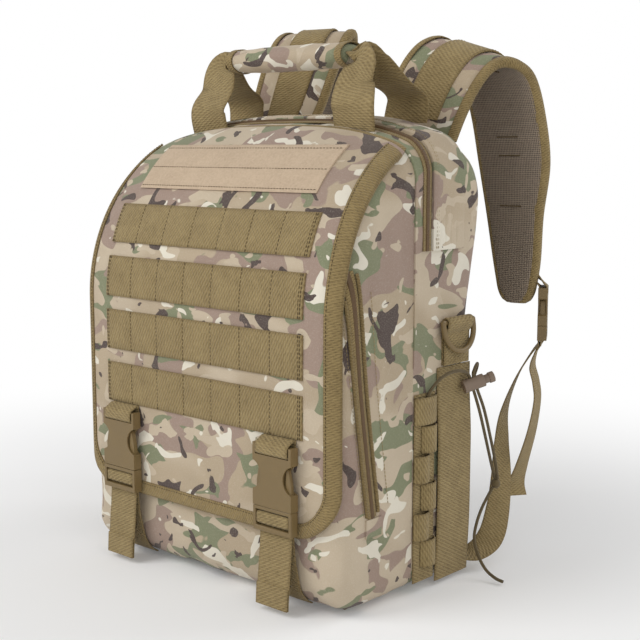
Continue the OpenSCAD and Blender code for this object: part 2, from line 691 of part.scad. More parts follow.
module lower_strap(right) color(tan) {
    at_tip(right) threaded(lower_web, lower_t);
    on_right(right) {
        for (path = [lower_path, tail_path])
            band([for (p = path) concat(p, [0, lower_web])], [[0, lower_web]], -lower_t / 2, lower_t / 2, 2);
    }
}
module lower_strap_left() lower_strap(false);
module lower_strap_right() lower_strap(true);

// ---- bungee cord on the right side ----
lock_c = [178, 76, 183]; // middle of the cord lock
lock_dir = [0.55, 0.78, 0.3];
lock_r = 6;
lock_l = 20;
button_l = 12;
button_travel = 4;
cord_front = [[168.2, 19.5, 162], [168.2, 20, 177], [170.5, 29, 189], [173.6, 42, 196], [175.4, 56, 197],
              [175.2, 68, 194], [175.7, 73, 189], [178.3, 76.3, 176], [177, 88, 155], [173, 104, 128],
              [169, 120, 100], [166.5, 131, 81]];
cord_rear = [[168, 89.5, 184], [171, 91, 195], [175.5, 85, 200], [177.4, 78, 196], [177.7, 75.8, 190],
             [180.3, 79.2, 176.8], [179.4, 91.5, 157], [175.5, 107.5, 130], [171.5, 123, 102],
             [169, 132, 81]];
cord_end = [[166, 128, 72], [166, 112, 57], [169, 98, 44], [173, 89, 32], [180, 85, 20], [191, 82, 9],
            [203, 80, 4], [212, 79, 3]];
knot_c = [167.5, 131, 76];
module bungee_cord_front() color(tan) {
    tube(cord_front, cord_d / 2, 2);
    tube(cord_end, cord_d / 2, 2);
}
module bungee_cord_rear() color(tan) tube(cord_rear, cord_d / 2, 2);

module at_lock() {
    d = unit(lock_dir);
    translate(lock_c) rotate([0, acos(d[2]), atan2(d[1], d[0])]) children();
}
bore_r = 4.3;
module cord_lock_barrel() color(dark)
    difference() {
        at_lock() difference() {
            translate([0, 0, -lock_l / 2]) cylinder(r = lock_r, h = lock_l);
            translate([0, 0, 4.5]) cylinder(r = bore_r, h = lock_l);
        }
        hull() cord_hole(cord_front, 6);
        hull() cord_hole(cord_rear, 4);
    }
// The stretch of cord that runs through the lock, with room round it
module cord_hole(p, i)
    for (q = [2 * xyz(p[i]) - xyz(p[i + 1]), 2 * xyz(p[i + 1]) - xyz(p[i])])
        translate(q) sphere(r = cord_d / 2 + 0.5, $fn = 16);

module cord_lock_button() color(dark)
    at_lock() translate([0, 0, lock_l / 2 - 1]) {
        cylinder(r = bore_r - 0.3, h = button_l - 3);
        translate([0, 0, button_l - 6]) cylinder(r = lock_r - 1, h = 5);
    }

module cord_knot() color(tan)
    translate(knot_c) sphere(r = 4.6);

// ---- zip sliders, on the left side ----
slider_l = 14;
slider_w = 8;
slider_t = 3;
pull_l = 24;
pull_t = 1.6;
eye = 1; // radius of the pin that a pull hangs on
main_slider_z = 322;
front_slider_z = 150;
zip_lean = atan2(zip_mid[0] - zip_low[0], zip_mid[1] - zip_low[1]);
function zip_y(z) = zip_low[0] + (z - zip_low[1]) * tan(zip_lean);
module slider(y, z, lean, teeth)
    translate([-side_x - teeth - clear, y, z]) rotate([-lean, 0, 0]) {
        translate([-slider_t, -slider_w / 2, -slider_l / 2]) cube([slider_t, slider_w, slider_l]);
        for (s = [-1, 1]) translate([-slider_t - 3, s * 2.6 - 0.7, slider_l / 2 - 5]) cube([3, 1.4, 4]);
        translate([-slider_t - 1.8, 0, slider_l / 2 - 3]) rotate([90, 0, 0])
            cylinder(r = eye, h = 5.2, center = true);
    }
module pull(y, z, lean, teeth)
    translate([-side_x - teeth - clear, y, z]) rotate([-lean, 0, 0])
        translate([-slider_t - 1.8, 0, slider_l / 2 - 3]) difference() {
            union() {
                translate([-pull_t / 2, -1.4, -6]) cube([pull_t, 2.8, 6]);
                rotate([90, 0, 0]) cylinder(r = eye + 0.8, h = 2.8, center = true);
                translate([-pull_t / 2, -3.5, -pull_l]) cube([pull_t, 7, pull_l - 5.5]);
            }
            rotate([90, 0, 0]) cylinder(r = eye + 0.05, h = 9, center = true);
        }
module main_zip_slider() color(plastic) slider(main_zip_y, main_slider_z, 0, teeth_t);
module main_zip_pull() color(plastic) pull(main_zip_y, main_slider_z, 0, teeth_t);
module front_zip_slider() color(plastic)
    slider(zip_y(front_slider_z), front_slider_z, zip_lean, front_teeth_t);
module front_zip_pull() color(plastic)
    pull(zip_y(front_slider_z), front_slider_z, zip_lean, front_teeth_t);

base_panel();
front_compartment();
main_compartment();
back_pad();
storm_flap();
main_zip();
seam_welt();
front_zip();
zip_piping();
zip_end_tabs();
flap_seam();
handle_loop_left();
handle_loop_right();
handle_wrap();
side_strip_left();
side_strip_right();
ring_loop_left();
ring_loop_right();
ladder_left();
ladder_right();
flap_strap_left();
flap_strap_right();
lower_strap_left();
lower_strap_right();
strap_yoke();
bungee_cord_front();
bungee_cord_rear();
cord_lock_barrel();
cord_lock_button();
cord_knot();
flap_panel();
flap_binding();
webbing_row_1();
webbing_row_2();
webbing_row_3();
webbing_row_4();
loop_panel();
flap_buckle_web_left();
flap_buckle_web_right();
flap_buckle_female_left();
flap_buckle_female_right();
flap_buckle_male_left();
flap_buckle_male_right();
shoulder_pad_left();
shoulder_pad_right();
shoulder_webbing_left();
shoulder_webbing_right();
shoulder_mesh_left();
shoulder_mesh_right();
shoulder_buckle_female_left();
shoulder_buckle_female_right();
shoulder_buckle_male_left();
shoulder_buckle_male_right();
d_ring_left();
d_ring_right();
main_zip_slider();
main_zip_pull();
front_zip_slider();
front_zip_pull();
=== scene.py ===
import json
import math
import bmesh
import bpy
import numpy as np
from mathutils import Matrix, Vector

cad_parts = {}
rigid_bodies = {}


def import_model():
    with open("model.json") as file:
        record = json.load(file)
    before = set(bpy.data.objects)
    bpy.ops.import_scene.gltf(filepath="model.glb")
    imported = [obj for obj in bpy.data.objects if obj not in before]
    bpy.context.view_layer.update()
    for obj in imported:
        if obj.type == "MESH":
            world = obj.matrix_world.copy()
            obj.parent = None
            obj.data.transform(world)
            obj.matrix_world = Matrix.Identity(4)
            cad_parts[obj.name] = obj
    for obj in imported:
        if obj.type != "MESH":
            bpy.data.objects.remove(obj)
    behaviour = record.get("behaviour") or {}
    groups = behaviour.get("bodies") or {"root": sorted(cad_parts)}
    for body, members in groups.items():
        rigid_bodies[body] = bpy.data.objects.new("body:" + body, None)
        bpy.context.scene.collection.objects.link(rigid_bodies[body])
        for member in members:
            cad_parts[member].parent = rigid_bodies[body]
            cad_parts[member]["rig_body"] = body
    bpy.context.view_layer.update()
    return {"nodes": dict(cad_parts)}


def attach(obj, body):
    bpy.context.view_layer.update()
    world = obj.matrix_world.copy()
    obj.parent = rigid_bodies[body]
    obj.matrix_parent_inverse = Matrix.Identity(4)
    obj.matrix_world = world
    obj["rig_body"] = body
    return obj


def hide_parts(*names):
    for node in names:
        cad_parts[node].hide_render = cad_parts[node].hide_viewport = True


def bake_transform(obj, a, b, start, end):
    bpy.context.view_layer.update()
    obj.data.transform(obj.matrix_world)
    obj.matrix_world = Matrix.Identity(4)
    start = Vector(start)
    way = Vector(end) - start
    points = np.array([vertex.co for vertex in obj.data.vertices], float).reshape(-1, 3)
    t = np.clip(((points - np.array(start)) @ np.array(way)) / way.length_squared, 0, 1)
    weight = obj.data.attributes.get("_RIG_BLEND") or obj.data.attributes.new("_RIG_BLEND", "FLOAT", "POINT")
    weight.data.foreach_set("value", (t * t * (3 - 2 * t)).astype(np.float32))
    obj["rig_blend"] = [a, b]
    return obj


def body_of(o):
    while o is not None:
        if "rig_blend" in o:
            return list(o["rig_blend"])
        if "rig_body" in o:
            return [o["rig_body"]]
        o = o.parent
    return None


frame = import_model()
nodes = frame["nodes"]
scene = bpy.context.scene
print("frame loaded")

# ---- camera, floor and light ----
studio = {
    "eye": (0.794, -0.816, 0.394), "aim": (0.149, -0.100, 0.257), "lens": 67.8, "shift": (0.0, 0.0),
    "key": 27.0, "fill": 9.0, "rim": 12.0, "sky": 0.46, "floorColour": (0.95, 0.95, 0.95),
}


def aimAt(thing, eye, aim):
    thing.location = eye
    thing.rotation_euler = (Vector(aim) - Vector(eye)).to_track_quat("-Z", "Y").to_euler()


camera = bpy.data.objects.new("studioCamera", bpy.data.cameras.new("studioCamera"))
scene.collection.objects.link(camera)
aimAt(camera, studio["eye"], studio["aim"])
camera.data.lens = studio["lens"]
camera.data.shift_x, camera.data.shift_y = studio["shift"]
camera.data.clip_end = 50
scene.camera = camera
scene.view_settings.view_transform = "Standard"


# ---- shader expressions ----
class Wire:  # one node output, on which sums and comparisons can be written
    def __init__(self, graph, socket):
        self.graph, self.socket = graph, socket

    def maths(self, operation, other=0.0, swapped=False):
        pair = (other, self) if swapped else (self, other)
        return self.graph.add("ShaderNodeMath", {"operation": operation}, {0: pair[0], 1: pair[1]})

    def __add__(self, other): return self.maths("ADD", other)
    def __radd__(self, other): return self.maths("ADD", other)
    def __sub__(self, other): return self.maths("SUBTRACT", other)
    def __rsub__(self, other): return self.maths("SUBTRACT", other, True)
    def __mul__(self, other): return self.maths("MULTIPLY", other)
    def __rmul__(self, other): return self.maths("MULTIPLY", other)
    def __truediv__(self, other): return self.maths("DIVIDE", other)
    def __rtruediv__(self, other): return self.maths("DIVIDE", other, True)
    def __pow__(self, other): return self.maths("POWER", other)
    def sine(self): return self.maths("SINE")
    def size(self): return self.maths("ABSOLUTE")
    def step(self, edge, soft):  # 0 below the edge, 1 above it, with a soft change between
        return self.graph.add("ShaderNodeMapRange", {"interpolation_type": "SMOOTHSTEP"},
                              {"Value": self, "From Min": edge - soft, "From Max": edge + soft})


class Graph:  # a material with one Principled shader
    def __init__(self, name, roughness=0.8, sheen=0.0, specular=0.5, metallic=0.0):
        self.material = bpy.data.materials.new(name)
        self.material.use_nodes = True
        self.tree = self.material.node_tree
        self.shader = self.tree.nodes["Principled BSDF"]
        for socket, value in (("Roughness", roughness), ("Sheen Weight", sheen), ("Metallic", metallic),
                              ("Specular IOR Level", specular)):
            self.shader.inputs[socket].default_value = value

    def add(self, kind, settings=None, inputs=None, output=0):
        node = self.tree.nodes.new(kind)
        for key, value in (settings or {}).items():
            setattr(node, key, value)
        for key, value in (inputs or {}).items():
            self.join(value, node.inputs[key])
        return Wire(self, node.outputs[output])

    def join(self, value, socket):
        if isinstance(value, Wire):
            self.tree.links.new(value.socket, socket)
        else:
            socket.default_value = value

    def mix(self, a, b, factor):
        colours = [c if isinstance(c, Wire) else (*c, 1.0) for c in (a, b)]
        return self.add("ShaderNodeMix", {"data_type": "RGBA"}, {0: factor, 6: colours[0], 7: colours[1]}, 2)

    def spot(self, scale=(1, 1, 1), shift=(0, 0, 0)):  # metres on the object
        where = self.add("ShaderNodeTexCoord", output=3)
        return self.add("ShaderNodeMapping", None, {"Vector": where, "Scale": scale, "Location": shift})

    def uv(self, layer="cloth"):  # along and across the piece
        where = self.add("ShaderNodeUVMap", {"uv_map": layer})
        parts = self.tree.nodes.new("ShaderNodeSeparateXYZ")
        self.join(where, parts.inputs[0])
        return Wire(self, parts.outputs[0]), Wire(self, parts.outputs[1])

    def noise(self, where, scale, detail=2.0, rough=0.5, warp=0.0):
        return self.add("ShaderNodeTexNoise", None, {"Vector": where, "Scale": scale, "Detail": detail,
                                                      "Roughness": rough, "Distortion": warp})

    def finish(self, colour, height=None, depth=0.0005, strength=1.0, roughness=None):
        self.join(colour, self.shader.inputs["Base Color"])
        if roughness is not None:
            self.join(roughness, self.shader.inputs["Roughness"])
        if height is not None:
            bump = self.add("ShaderNodeBump", None, {"Height": height, "Strength": strength, "Distance": depth})
            self.join(bump, self.shader.inputs["Normal"])
        return self.material


def linear(r, g, b):  # a screen colour of 0 to 255 as the light it stands for
    return tuple(((c / 255 + 0.055) / 1.055) ** 2.4 if c > 10 else c / 255 / 12.92 for c in (r, g, b))


camoColours = {
    "ground": linear(198, 182, 158), "shade": linear(182, 164, 138), "mauve": linear(160, 138, 124),
    "green": linear(130, 134, 104), "cream": linear(228, 221, 204), "dark": linear(84, 71, 66),
}


def camoCloth(name, shift, size=1.0):  # blotches are noise above a level, each layer laid over the last
    g = Graph(name, roughness=0.85, sheen=0.15, specular=0.25)
    def blotch(scale, level, offset, stretch, soft=0.004, warp=0.6, detail=1.5):
        where = g.spot(tuple(c * size for c in stretch), tuple(s + o for s, o in zip(shift, offset)))
        return g.noise(where, scale, detail, 0.45, warp).step(level, soft)
    colour = g.mix(camoColours["ground"], camoColours["shade"], blotch(9, 0.5, (1, 2, 3), (1, 1, 1.5), 0.1))
    colour = g.mix(colour, camoColours["mauve"], blotch(17, 0.525, (4, 1, 7), (1, 1, 1.5)))
    colour = g.mix(colour, camoColours["green"], blotch(20, 0.57, (9, 5, 2), (1, 1, 1.6)))
    colour = g.mix(colour, camoColours["ground"], blotch(34, 0.61, (2, 8, 6), (1, 1, 1.4)))
    colour = g.mix(colour, camoColours["cream"], blotch(31, 0.63, (7, 3, 1), (1, 1, 1.3), warp=1.0))
    colour = g.mix(colour, camoColours["dark"], blotch(27, 0.627, (3, 9, 4), (1, 1, 1.2), warp=1.3, detail=2.2))
    grain = g.noise(g.spot(), 900, 2, 0.6)
    cloudy = g.noise(g.spot(shift=shift), 14, 4, 0.6)
    shade = g.mix(colour, (0.20, 0.16, 0.12), (cloudy - 0.42) * 0.5)
    colour = g.mix(shade, (0.86, 0.82, 0.72), (grain - 0.5) * 0.5)
    weave = g.add("ShaderNodeTexWave", {"bands_direction": "DIAGONAL"}, {"Vector": g.spot(), "Scale": 420, "Distortion": 0.4})
    return g.finish(colour, weave * 0.3 + grain + cloudy * 4.0, 0.0006, 0.5)


def webbingCloth(name, base, dark, rib=0.0021, slant=0.0034):  # ribs across the length, with a slanting twill over them
    g = Graph(name, roughness=0.8, sheen=0.12, specular=0.25)
    along, across = g.uv()
    far, side = g.uv("edge")
    # painted shade along both long edges, where the strap rolls down
    rim = ((side - 0.5).size() * 2.0).step(0.9, 0.08)
    patch = g.noise(g.spot(), 55, 3, 0.6)
    fine = g.noise(g.spot(), 800, 2, 0.6)
    worn = g.noise(g.spot(), 240, 2, 0.6)
    ribs = (along * (2 * math.pi / rib) + worn * 3.0).sine()
    twill = ((along + across * 0.55) * (2 * math.pi / slant) + worn * 2.5).sine()
    # painted shade in the weave: the grooves of the ribs and twill, low in the bump, are coloured darker; patch and
    # worn are random tone
    tone = g.mix(base, dark, ribs * 0.14 + twill * 0.2 + 0.42 + (patch - 0.5) * 0.7 + (worn - 0.5) * 0.6)
    # the long edges are darkened: painted shade
    tone = g.mix(tone, dark, rim * 0.45)
    tone = g.mix(tone, tuple(min(1, c * 1.5) for c in base), (fine - 0.47) * 0.7)
    return g.finish(tone, ribs * -0.4 - twill * 0.5 + fine * 0.8, 0.0006, 0.7)


def plainCloth(name, base, dark, scale=500, depth=0.0004, roughness=0.85):
    g = Graph(name, roughness=roughness, sheen=0.1, specular=0.3)
    patch = g.noise(g.spot(), 45, 3, 0.6)
    fine = g.noise(g.spot(), scale, 3, 0.65)
    tone = g.mix(base, dark, (fine - 0.35) * 0.9 + (patch - 0.5) * 0.5)
    return g.finish(tone, fine, depth, 0.7)


def meshCloth(name, base, holeShade, cell=0.0026):  # a net: round holes where two sine waves of the place are both low
    g = Graph(name, roughness=0.75, sheen=0.1, specular=0.3)
    along, across = g.uv()
    k = 2 * math.pi / cell
    net = (along * k).sine() * ((across * k)).sine()
    net = net.size().step(0.35, 0.2)
    fine = g.noise(g.spot(), 300, 2, 0.5)
    # the holes take the second colour: painted shade in the net's depth
    return g.finish(g.mix(base, holeShade, net * 0.8 + (fine - 0.5) * 0.4), 1.0 - net, 0.0006, 0.8)


def plastic(name, base, roughness=0.42):
    g = Graph(name, roughness=roughness, specular=0.45)
    fine = g.noise(g.spot(), 420, 3, 0.6)
    patch = g.noise(g.spot(), 70, 3, 0.55)
    tone = g.mix(base, tuple(c * 1.5 for c in base), (patch - 0.45) * 0.55 + (fine - 0.5) * 0.25)
    return g.finish(tone, fine, 0.0002, 0.35, patch * 0.25 + (roughness - 0.1))


def metal(name, base, roughness=0.38):
    g = Graph(name, roughness=roughness, metallic=0.55)
    patch = g.noise(g.spot(), 260, 3, 0.6)
    return g.finish(g.mix(base, tuple(c * 0.55 for c in base), patch), patch, 0.0001, 0.3, patch * 0.3 + (roughness - 0.1))


def braid(name, base, dark, pitch=0.0024):  # two slanting sets of strands round the cord
    g = Graph(name, roughness=0.8, sheen=0.15, specular=0.3)
    along, across = g.uv()
    k = 2 * math.pi / pitch
    strands = ((along * k + across * 3140.0).sine()) * ((along * k - across * 3140.0).sine())
    return g.finish(g.mix(base, dark, strands * 0.35 + 0.4), strands, 0.0004, 0.7)


coyote, coyoteDark = linear(163, 143, 100), linear(112, 94, 60)
finishes = {
    "camo": camoCloth("camoCloth", (0.0, 0.0, 0.0)),
    "camoFlap": camoCloth("camoFlap", (3.3, 1.2, 5.1)),
    "camoTop": camoCloth("camoTop", (8.2, 4.7, 1.4)),
    "camoStrap": camoCloth("camoStrap", (5.5, 7.1, 2.6)),
    "webbing": webbingCloth("webbing", coyote, coyoteDark),
    "binding": webbingCloth("bindingTape", linear(160, 139, 94), linear(108, 90, 57), 0.0019, 0.0027),
    "tape": webbingCloth("zipTape", linear(158, 137, 94), linear(114, 96, 62), 0.0016, 0.0024),
    "thread": plainCloth("thread", linear(160, 140, 100), linear(110, 92, 60), 900),
    "darkThread": plainCloth("darkThread", linear(92, 76, 50), linear(60, 50, 34), 900),
    "loop": plainCloth("loopPile", linear(200, 178, 152), linear(158, 136, 112), 420, 0.0014, 0.95),
    # the second colour of each net is painted shade in its holes
    "mesh": meshCloth("meshLining", linear(164, 148, 130), linear(70, 60, 51), 0.0036),
    "back": meshCloth("backMesh", linear(122, 107, 84), linear(62, 53, 42), 0.0040),
    "plastic": plastic("bucklePlastic", linear(122, 102, 66)),
    "teeth": plastic("zipTeeth", linear(96, 72, 44), 0.5),
    "lock": plastic("lockPlastic", linear(132, 114, 98), 0.5),
    "metal": metal("zipMetal", linear(128, 108, 76)),
    "braid": braid("cordBraid", linear(120, 104, 72), linear(74, 62, 42)),
}
print("materials made")


# ---- mesh tools: all lengths in millimetres until a mesh is made ----
def smoothPath(points, steps):  # Catmull-Rom curve through the points
    p = np.asarray(points, float)
    q = np.vstack([p[:1], p, p[-1:]])
    a, b, c, d = (x[:, None, :] for x in (q[:-3], q[1:-2], q[2:-1], q[3:]))
    s = (np.arange(steps) / steps)[None, :, None]
    curve = 0.5 * (2 * b + (c - a) * s + (2 * a - 5 * b + 4 * c - d) * s**2 + (3 * b - a - 3 * c + d) * s**3)
    return np.vstack([curve.reshape(-1, p.shape[1]), p[-1:]])


def evenPath(points, gap):  # the same polyline with points an even distance apart
    p = np.asarray(points, float)
    run = np.concatenate([[0], np.cumsum(np.linalg.norm(np.diff(p[:, :3], axis=0), axis=1))])
    at = np.linspace(0, run[-1], max(int(run[-1] / gap), 2) + 1)
    return np.stack([np.interp(at, run, p[:, k]) for k in range(p.shape[1])], 1)


def roundCorners(points, radius, steps=5):  # each inner corner becomes a curve that starts and ends radius away
    p = np.asarray(points, float)
    out = [p[:1]]
    for a, b, c in zip(p[:-2], p[1:-1], p[2:]):
        u, v = a - b, c - b
        ru, rv = (min(radius, 0.48 * np.linalg.norm(w)) for w in (u, v))
        s, e = b + u / np.linalg.norm(u) * ru, b + v / np.linalg.norm(v) * rv
        t = np.linspace(0, 1, steps + 1)[:, None]
        out.append((1 - t)**2 * s + 2 * t * (1 - t) * b + t**2 * e)
    return np.vstack(out + [p[-1:]])


def unit(v):
    return v / np.maximum(np.linalg.norm(v, axis=-1, keepdims=True), 1e-9)


def noiseWaves(p, seed, length, count=9):  # a sum of sine waves in random directions, from -1 to 1
    random = np.random.default_rng(seed)
    way = unit(random.normal(size=(count, 3))) * (2 * np.pi / (length * random.uniform(0.6, 1.7, (count, 1))))
    waves = np.sin(p @ way.T + random.uniform(0, 6.28, count) + 0.8 * np.sin(p @ way[::-1].T * 0.45))
    return waves.sum(-1) / np.sqrt(count) / 1.6


def meshObject(name, points, faces, cornerUv=None, cornerEdge=None, sharp=40):
    mesh = bpy.data.meshes.new(name)
    mesh.from_pydata((np.asarray(points) * 0.001).tolist(), [], faces)
    for layer, values in (("cloth", cornerUv), ("edge", cornerEdge)):
        if values is not None:
            mesh.uv_layers.new(name=layer).data.foreach_set("uv", np.asarray(values, float).ravel())
    mesh.polygons.foreach_set("use_smooth", [True] * len(faces))
    mesh.update()
    mesh.set_sharp_from_angle(angle=math.radians(sharp))
    thing = bpy.data.objects.new(name, mesh)
    scene.collection.objects.link(thing)
    return thing


def volume(points, faces):  # signed, by tetrahedra from the origin
    tris = np.array([(f[0], f[k], f[k + 1]) for f in faces for k in range(1, len(f) - 1)])
    a, b, c = (points[tris[:, k]] for k in range(3))
    return np.einsum("ij,ij->i", a, np.cross(b, c)).sum() / 6


def ringMesh(name, grid, uv=None, edge=None, sharp=40, ends="zip", loop=False):
    # rings of n points joined one to the next. Each end is zipped across, or closed round its middle
    m, n = grid.shape[:2]
    rows = m if loop else m - 1
    i, j = np.meshgrid(np.arange(rows), np.arange(n), indexing="ij")
    k, o = (j + 1) % n, (i + 1) % m
    quads = np.stack([i * n + j, o * n + j, o * n + k, i * n + k], -1).reshape(-1, 4)
    points, faces = grid.reshape(-1, 3), quads.tolist()
    def corners(values):
        wide = values if values.shape[1] == n + 1 else np.concatenate([values, values[:, :1]], 1)
        at = np.stack([wide[i, j], wide[o, j], wide[o, j + 1], wide[i, j + 1]], 2).reshape(-1, 2)
        return [at], wide
    made = [corners(v) for v in (uv, edge) if v is not None]
    if not loop:
        half = n // 2
        for row, start in ((0, 0), (m - 1, (m - 1) * n)):
            if ends == "zip":
                j0 = np.arange(half - 1)
                cap = np.stack([j0, j0 + 1, n - 2 - j0, n - 1 - j0], -1)
                caps = (cap + start).tolist()
                pick = cap
            else:
                j0 = np.arange(n)
                caps = [[start + a, start + (a + 1) % n, len(points)] for a in range(n)]
                points = np.vstack([points, points[start:start + n].mean(0)])
                pick = np.stack([j0, (j0 + 1) % n, j0], -1)
            if row:
                caps, pick = [f[::-1] for f in caps], pick[:, ::-1]
            faces += caps
            for parts, wide in made:
                parts.append(wide[row][pick].reshape(-1, 2))
    flat = [np.vstack(parts) for parts, wide in made]
    if volume(points, faces) < 0:
        sizes = np.cumsum([0] + [len(f) for f in faces])
        order = np.concatenate([np.arange(b - 1, a - 1, -1) for a, b in zip(sizes[:-1], sizes[1:])])
        faces = [f[::-1] for f in faces]
        flat = [v[order] for v in flat]
    return meshObject(name, points, faces, *(flat + [None] * (2 - len(flat))), sharp=sharp)


flatOval = np.array([-1, -0.975, -0.9, -0.6, -0.2, 0.2, 0.6, 0.9, 0.975, 1])


def strapMesh(name, path, across, width, thick, cells=None, bulge=0.0):
    # a flat oval section carried along the path: offset = width along u, thickness along v = tangent x u
    p = np.asarray(path, float)[:, :3]
    t = unit(np.gradient(p, axis=0))
    a = np.broadcast_to(np.asarray(across, float), p.shape)
    u = unit(a - (a * t).sum(-1, keepdims=True) * t)
    v = unit(np.cross(t, u))
    f = flatOval
    w = np.broadcast_to(np.asarray(width, float), len(p))[:, None] / 2
    h = thick / 2 * (0.3 + 0.7 * np.sqrt(1 - np.abs(f)**20))
    run = np.concatenate([[0], np.cumsum(np.linalg.norm(np.diff(p, axis=0), axis=1))])
    lift = 0 if cells is None else bulge * np.abs(np.sin(np.pi * cells * run / run[-1]))**0.6
    lift = np.broadcast_to(lift, len(p))[:, None] * (1 - np.abs(f)**4)[None]
    top = p[:, None] + u[:, None] * (w * f)[..., None] + v[:, None] * (h + lift)[..., None]
    low = p[:, None] + u[:, None] * (w * f)[..., None] - v[:, None] * np.broadcast_to(h, lift.shape)[..., None]
    grid = np.concatenate([top, low[:, ::-1]], 1)
    side = np.concatenate([f, f[::-1]])
    uv = np.stack(np.broadcast_arrays(run[:, None], w * side[None]), -1) * 0.001
    edge = np.stack(np.broadcast_arrays((run / run[-1])[:, None], (side[None] + 1) / 2), -1)
    return ringMesh(name, grid, uv, edge)


def layerMesh(name, surface, a, b, low, high, soft=0.6, extra=None):
    # a conforming layer: surface(a, b, lift) at the top lift, with its rim rounded down to the bottom lift
    rows, cols = np.meshgrid(a, b, indexing="ij") if np.ndim(a) == 1 else (a, b)
    m, n = rows.shape
    fa, fb = np.linspace(-1, 1, m)[:, None], np.linspace(-1, 1, n)[None]
    rim = (1 - np.abs(fa)**40) * (1 - np.abs(fb)**14)
    top = high - soft * (1 - rim) + (0 if extra is None else extra(rows, cols) * rim)
    up, down = surface(rows, cols, top), surface(rows, cols, np.full(rows.shape, float(low)))
    grid = np.concatenate([up, down[:, ::-1]], 1)
    middle = up[:, n // 2]
    run = np.concatenate([[0], np.cumsum(np.linalg.norm(np.diff(middle, axis=0), axis=1))])
    wide = np.concatenate([np.zeros((m, 1)), np.cumsum(np.linalg.norm(np.diff(up, axis=1), axis=2), axis=1)], 1)
    side = np.concatenate([wide, wide[:, ::-1]], 1)
    uv = np.stack(np.broadcast_arrays(run[:, None], side), -1) * 0.001
    part = np.concatenate([np.linspace(0, 1, n), np.linspace(1, 0, n)])
    edge = np.stack(np.broadcast_arrays((run / run[-1])[:, None], part[None]), -1)
    return ringMesh(name, grid, uv, edge)


def tubeMesh(name, path, radius, sides=10):  # a round section carried along the path
    p = np.asarray(path, float)
    t = unit(np.gradient(p, axis=0))
    u = unit(np.cross(t, np.array([0.2, 1, 0.1])))
    v = np.cross(t, u)
    r = np.broadcast_to(np.asarray(radius, float), len(p))[:, None, None]
    angle = np.linspace(0, 2 * np.pi, sides, endpoint=False)[None, :, None]
    grid = p[:, None] + r * (np.cos(angle) * u[:, None] + np.sin(angle) * v[:, None])
    run = np.concatenate([[0], np.cumsum(np.linalg.norm(np.diff(p, axis=0), axis=1))])
    turn = np.linspace(0, 2 * np.pi * float(np.max(radius)), sides + 1)
    uv = np.stack(np.broadcast_arrays(run[:, None], turn[None]), -1) * 0.001
    return ringMesh(name, grid, uv, uv, ends="middle", sharp=80)


def stitchMesh(name, lines, pitch=3.4, length=2.3, radius=0.32):
    # short threads along each line of [points, normals]: a six-sided section, thin at both ends
    grids = []
    for line, normal in lines:
        p = evenPath(np.hstack([line, np.broadcast_to(normal, np.shape(line))]), pitch)
        c, n = p[:, :3], unit(p[:, 3:])
        t = unit(np.gradient(c, axis=0))
        s = np.cross(t, n)
        along = np.array([-0.5, -0.32, 0.32, 0.5])[None, :, None, None] * length
        fat = np.array([0.45, 1, 1, 0.45])[None, :, None, None] * radius
        angle = (np.arange(6) * np.pi / 3)[None, None, :, None]
        pick = c[:, None, None]
        grids.append(pick + along * t[:, None, None] + fat * (np.cos(angle) * s[:, None, None]
                     + np.sin(angle) * n[:, None, None]))
    grid = np.concatenate(grids)
    count = len(grid)
    base = (np.arange(count) * 24)[:, None, None]
    i, j = np.meshgrid(np.arange(3), np.arange(6), indexing="ij")
    k = (j + 1) % 6
    quads = np.stack([i * 6 + j, (i + 1) * 6 + j, (i + 1) * 6 + k, i * 6 + k], -1).reshape(-1, 4)
    faces = (quads[None] + base).reshape(-1, 4).tolist()
    ends = np.array([[5, 4, 3, 2, 1, 0], [18, 19, 20, 21, 22, 23]])
    faces += (ends[None] + base).reshape(-1, 6).tolist()
    points = grid.reshape(-1, 3)
    if volume(points[:24], [f for f in faces if max(f) < 24]) < 0:
        faces = [f[::-1] for f in faces]
    return meshObject(name, points, faces)


def place(thing, body, finish, replaced=()):
    thing.data.materials.clear()
    thing.data.materials.append(finishes[finish])
    if body:
        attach(thing, body)
    if replaced:
        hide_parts(*replaced)
    return thing


def placeWebbing(thing, body, node=None):
    return place(thing, body, "webbing", [node] if node else ())


def acrossAt(x, points):  # points given by depth and height, as a line at one x
    return np.array([(x, y, z) for y, z in points])


def swell(thing, voxel, pressure, limit):
    # voxel remesh, then cloth under pressure for 20 frames; no point moves further than the limit in millimetres
    for o in bpy.context.selected_objects:
        o.select_set(False)
    bpy.context.view_layer.objects.active = thing
    thing.select_set(True)
    remesh = thing.modifiers.new("remesh", "REMESH")
    remesh.mode, remesh.voxel_size = "VOXEL", voxel * 0.001
    bpy.ops.object.modifier_apply(modifier="remesh")
    count = len(thing.data.vertices)
    start = np.empty(count * 3)
    thing.data.vertices.foreach_get("co", start)
    cloth = thing.modifiers.new("cloth", "CLOTH")
    cloth.settings.use_pressure = True
    cloth.settings.uniform_pressure_force = pressure
    cloth.settings.quality = 5
    cloth.settings.effector_weights.gravity = 0
    cloth.point_cache.frame_start, cloth.point_cache.frame_end = 1, 20
    for step in range(1, 21):
        scene.frame_set(step)
    seen = thing.evaluated_get(bpy.context.evaluated_depsgraph_get()).to_mesh()
    moved = np.empty(count * 3)
    seen.vertices.foreach_get("co", moved)
    thing.modifiers.remove(cloth)
    scene.frame_set(1)
    shift = (moved - start).reshape(-1, 3)
    far = np.linalg.norm(shift, axis=1, keepdims=True)
    shift *= np.minimum(1, limit * 0.001 / np.maximum(far, 1e-9))
    thing.data.vertices.foreach_set("co", (start.reshape(-1, 3) + shift).ravel())
    thing.data.polygons.foreach_set("use_smooth", [True] * len(thing.data.polygons))
    thing.data.update()
    return thing


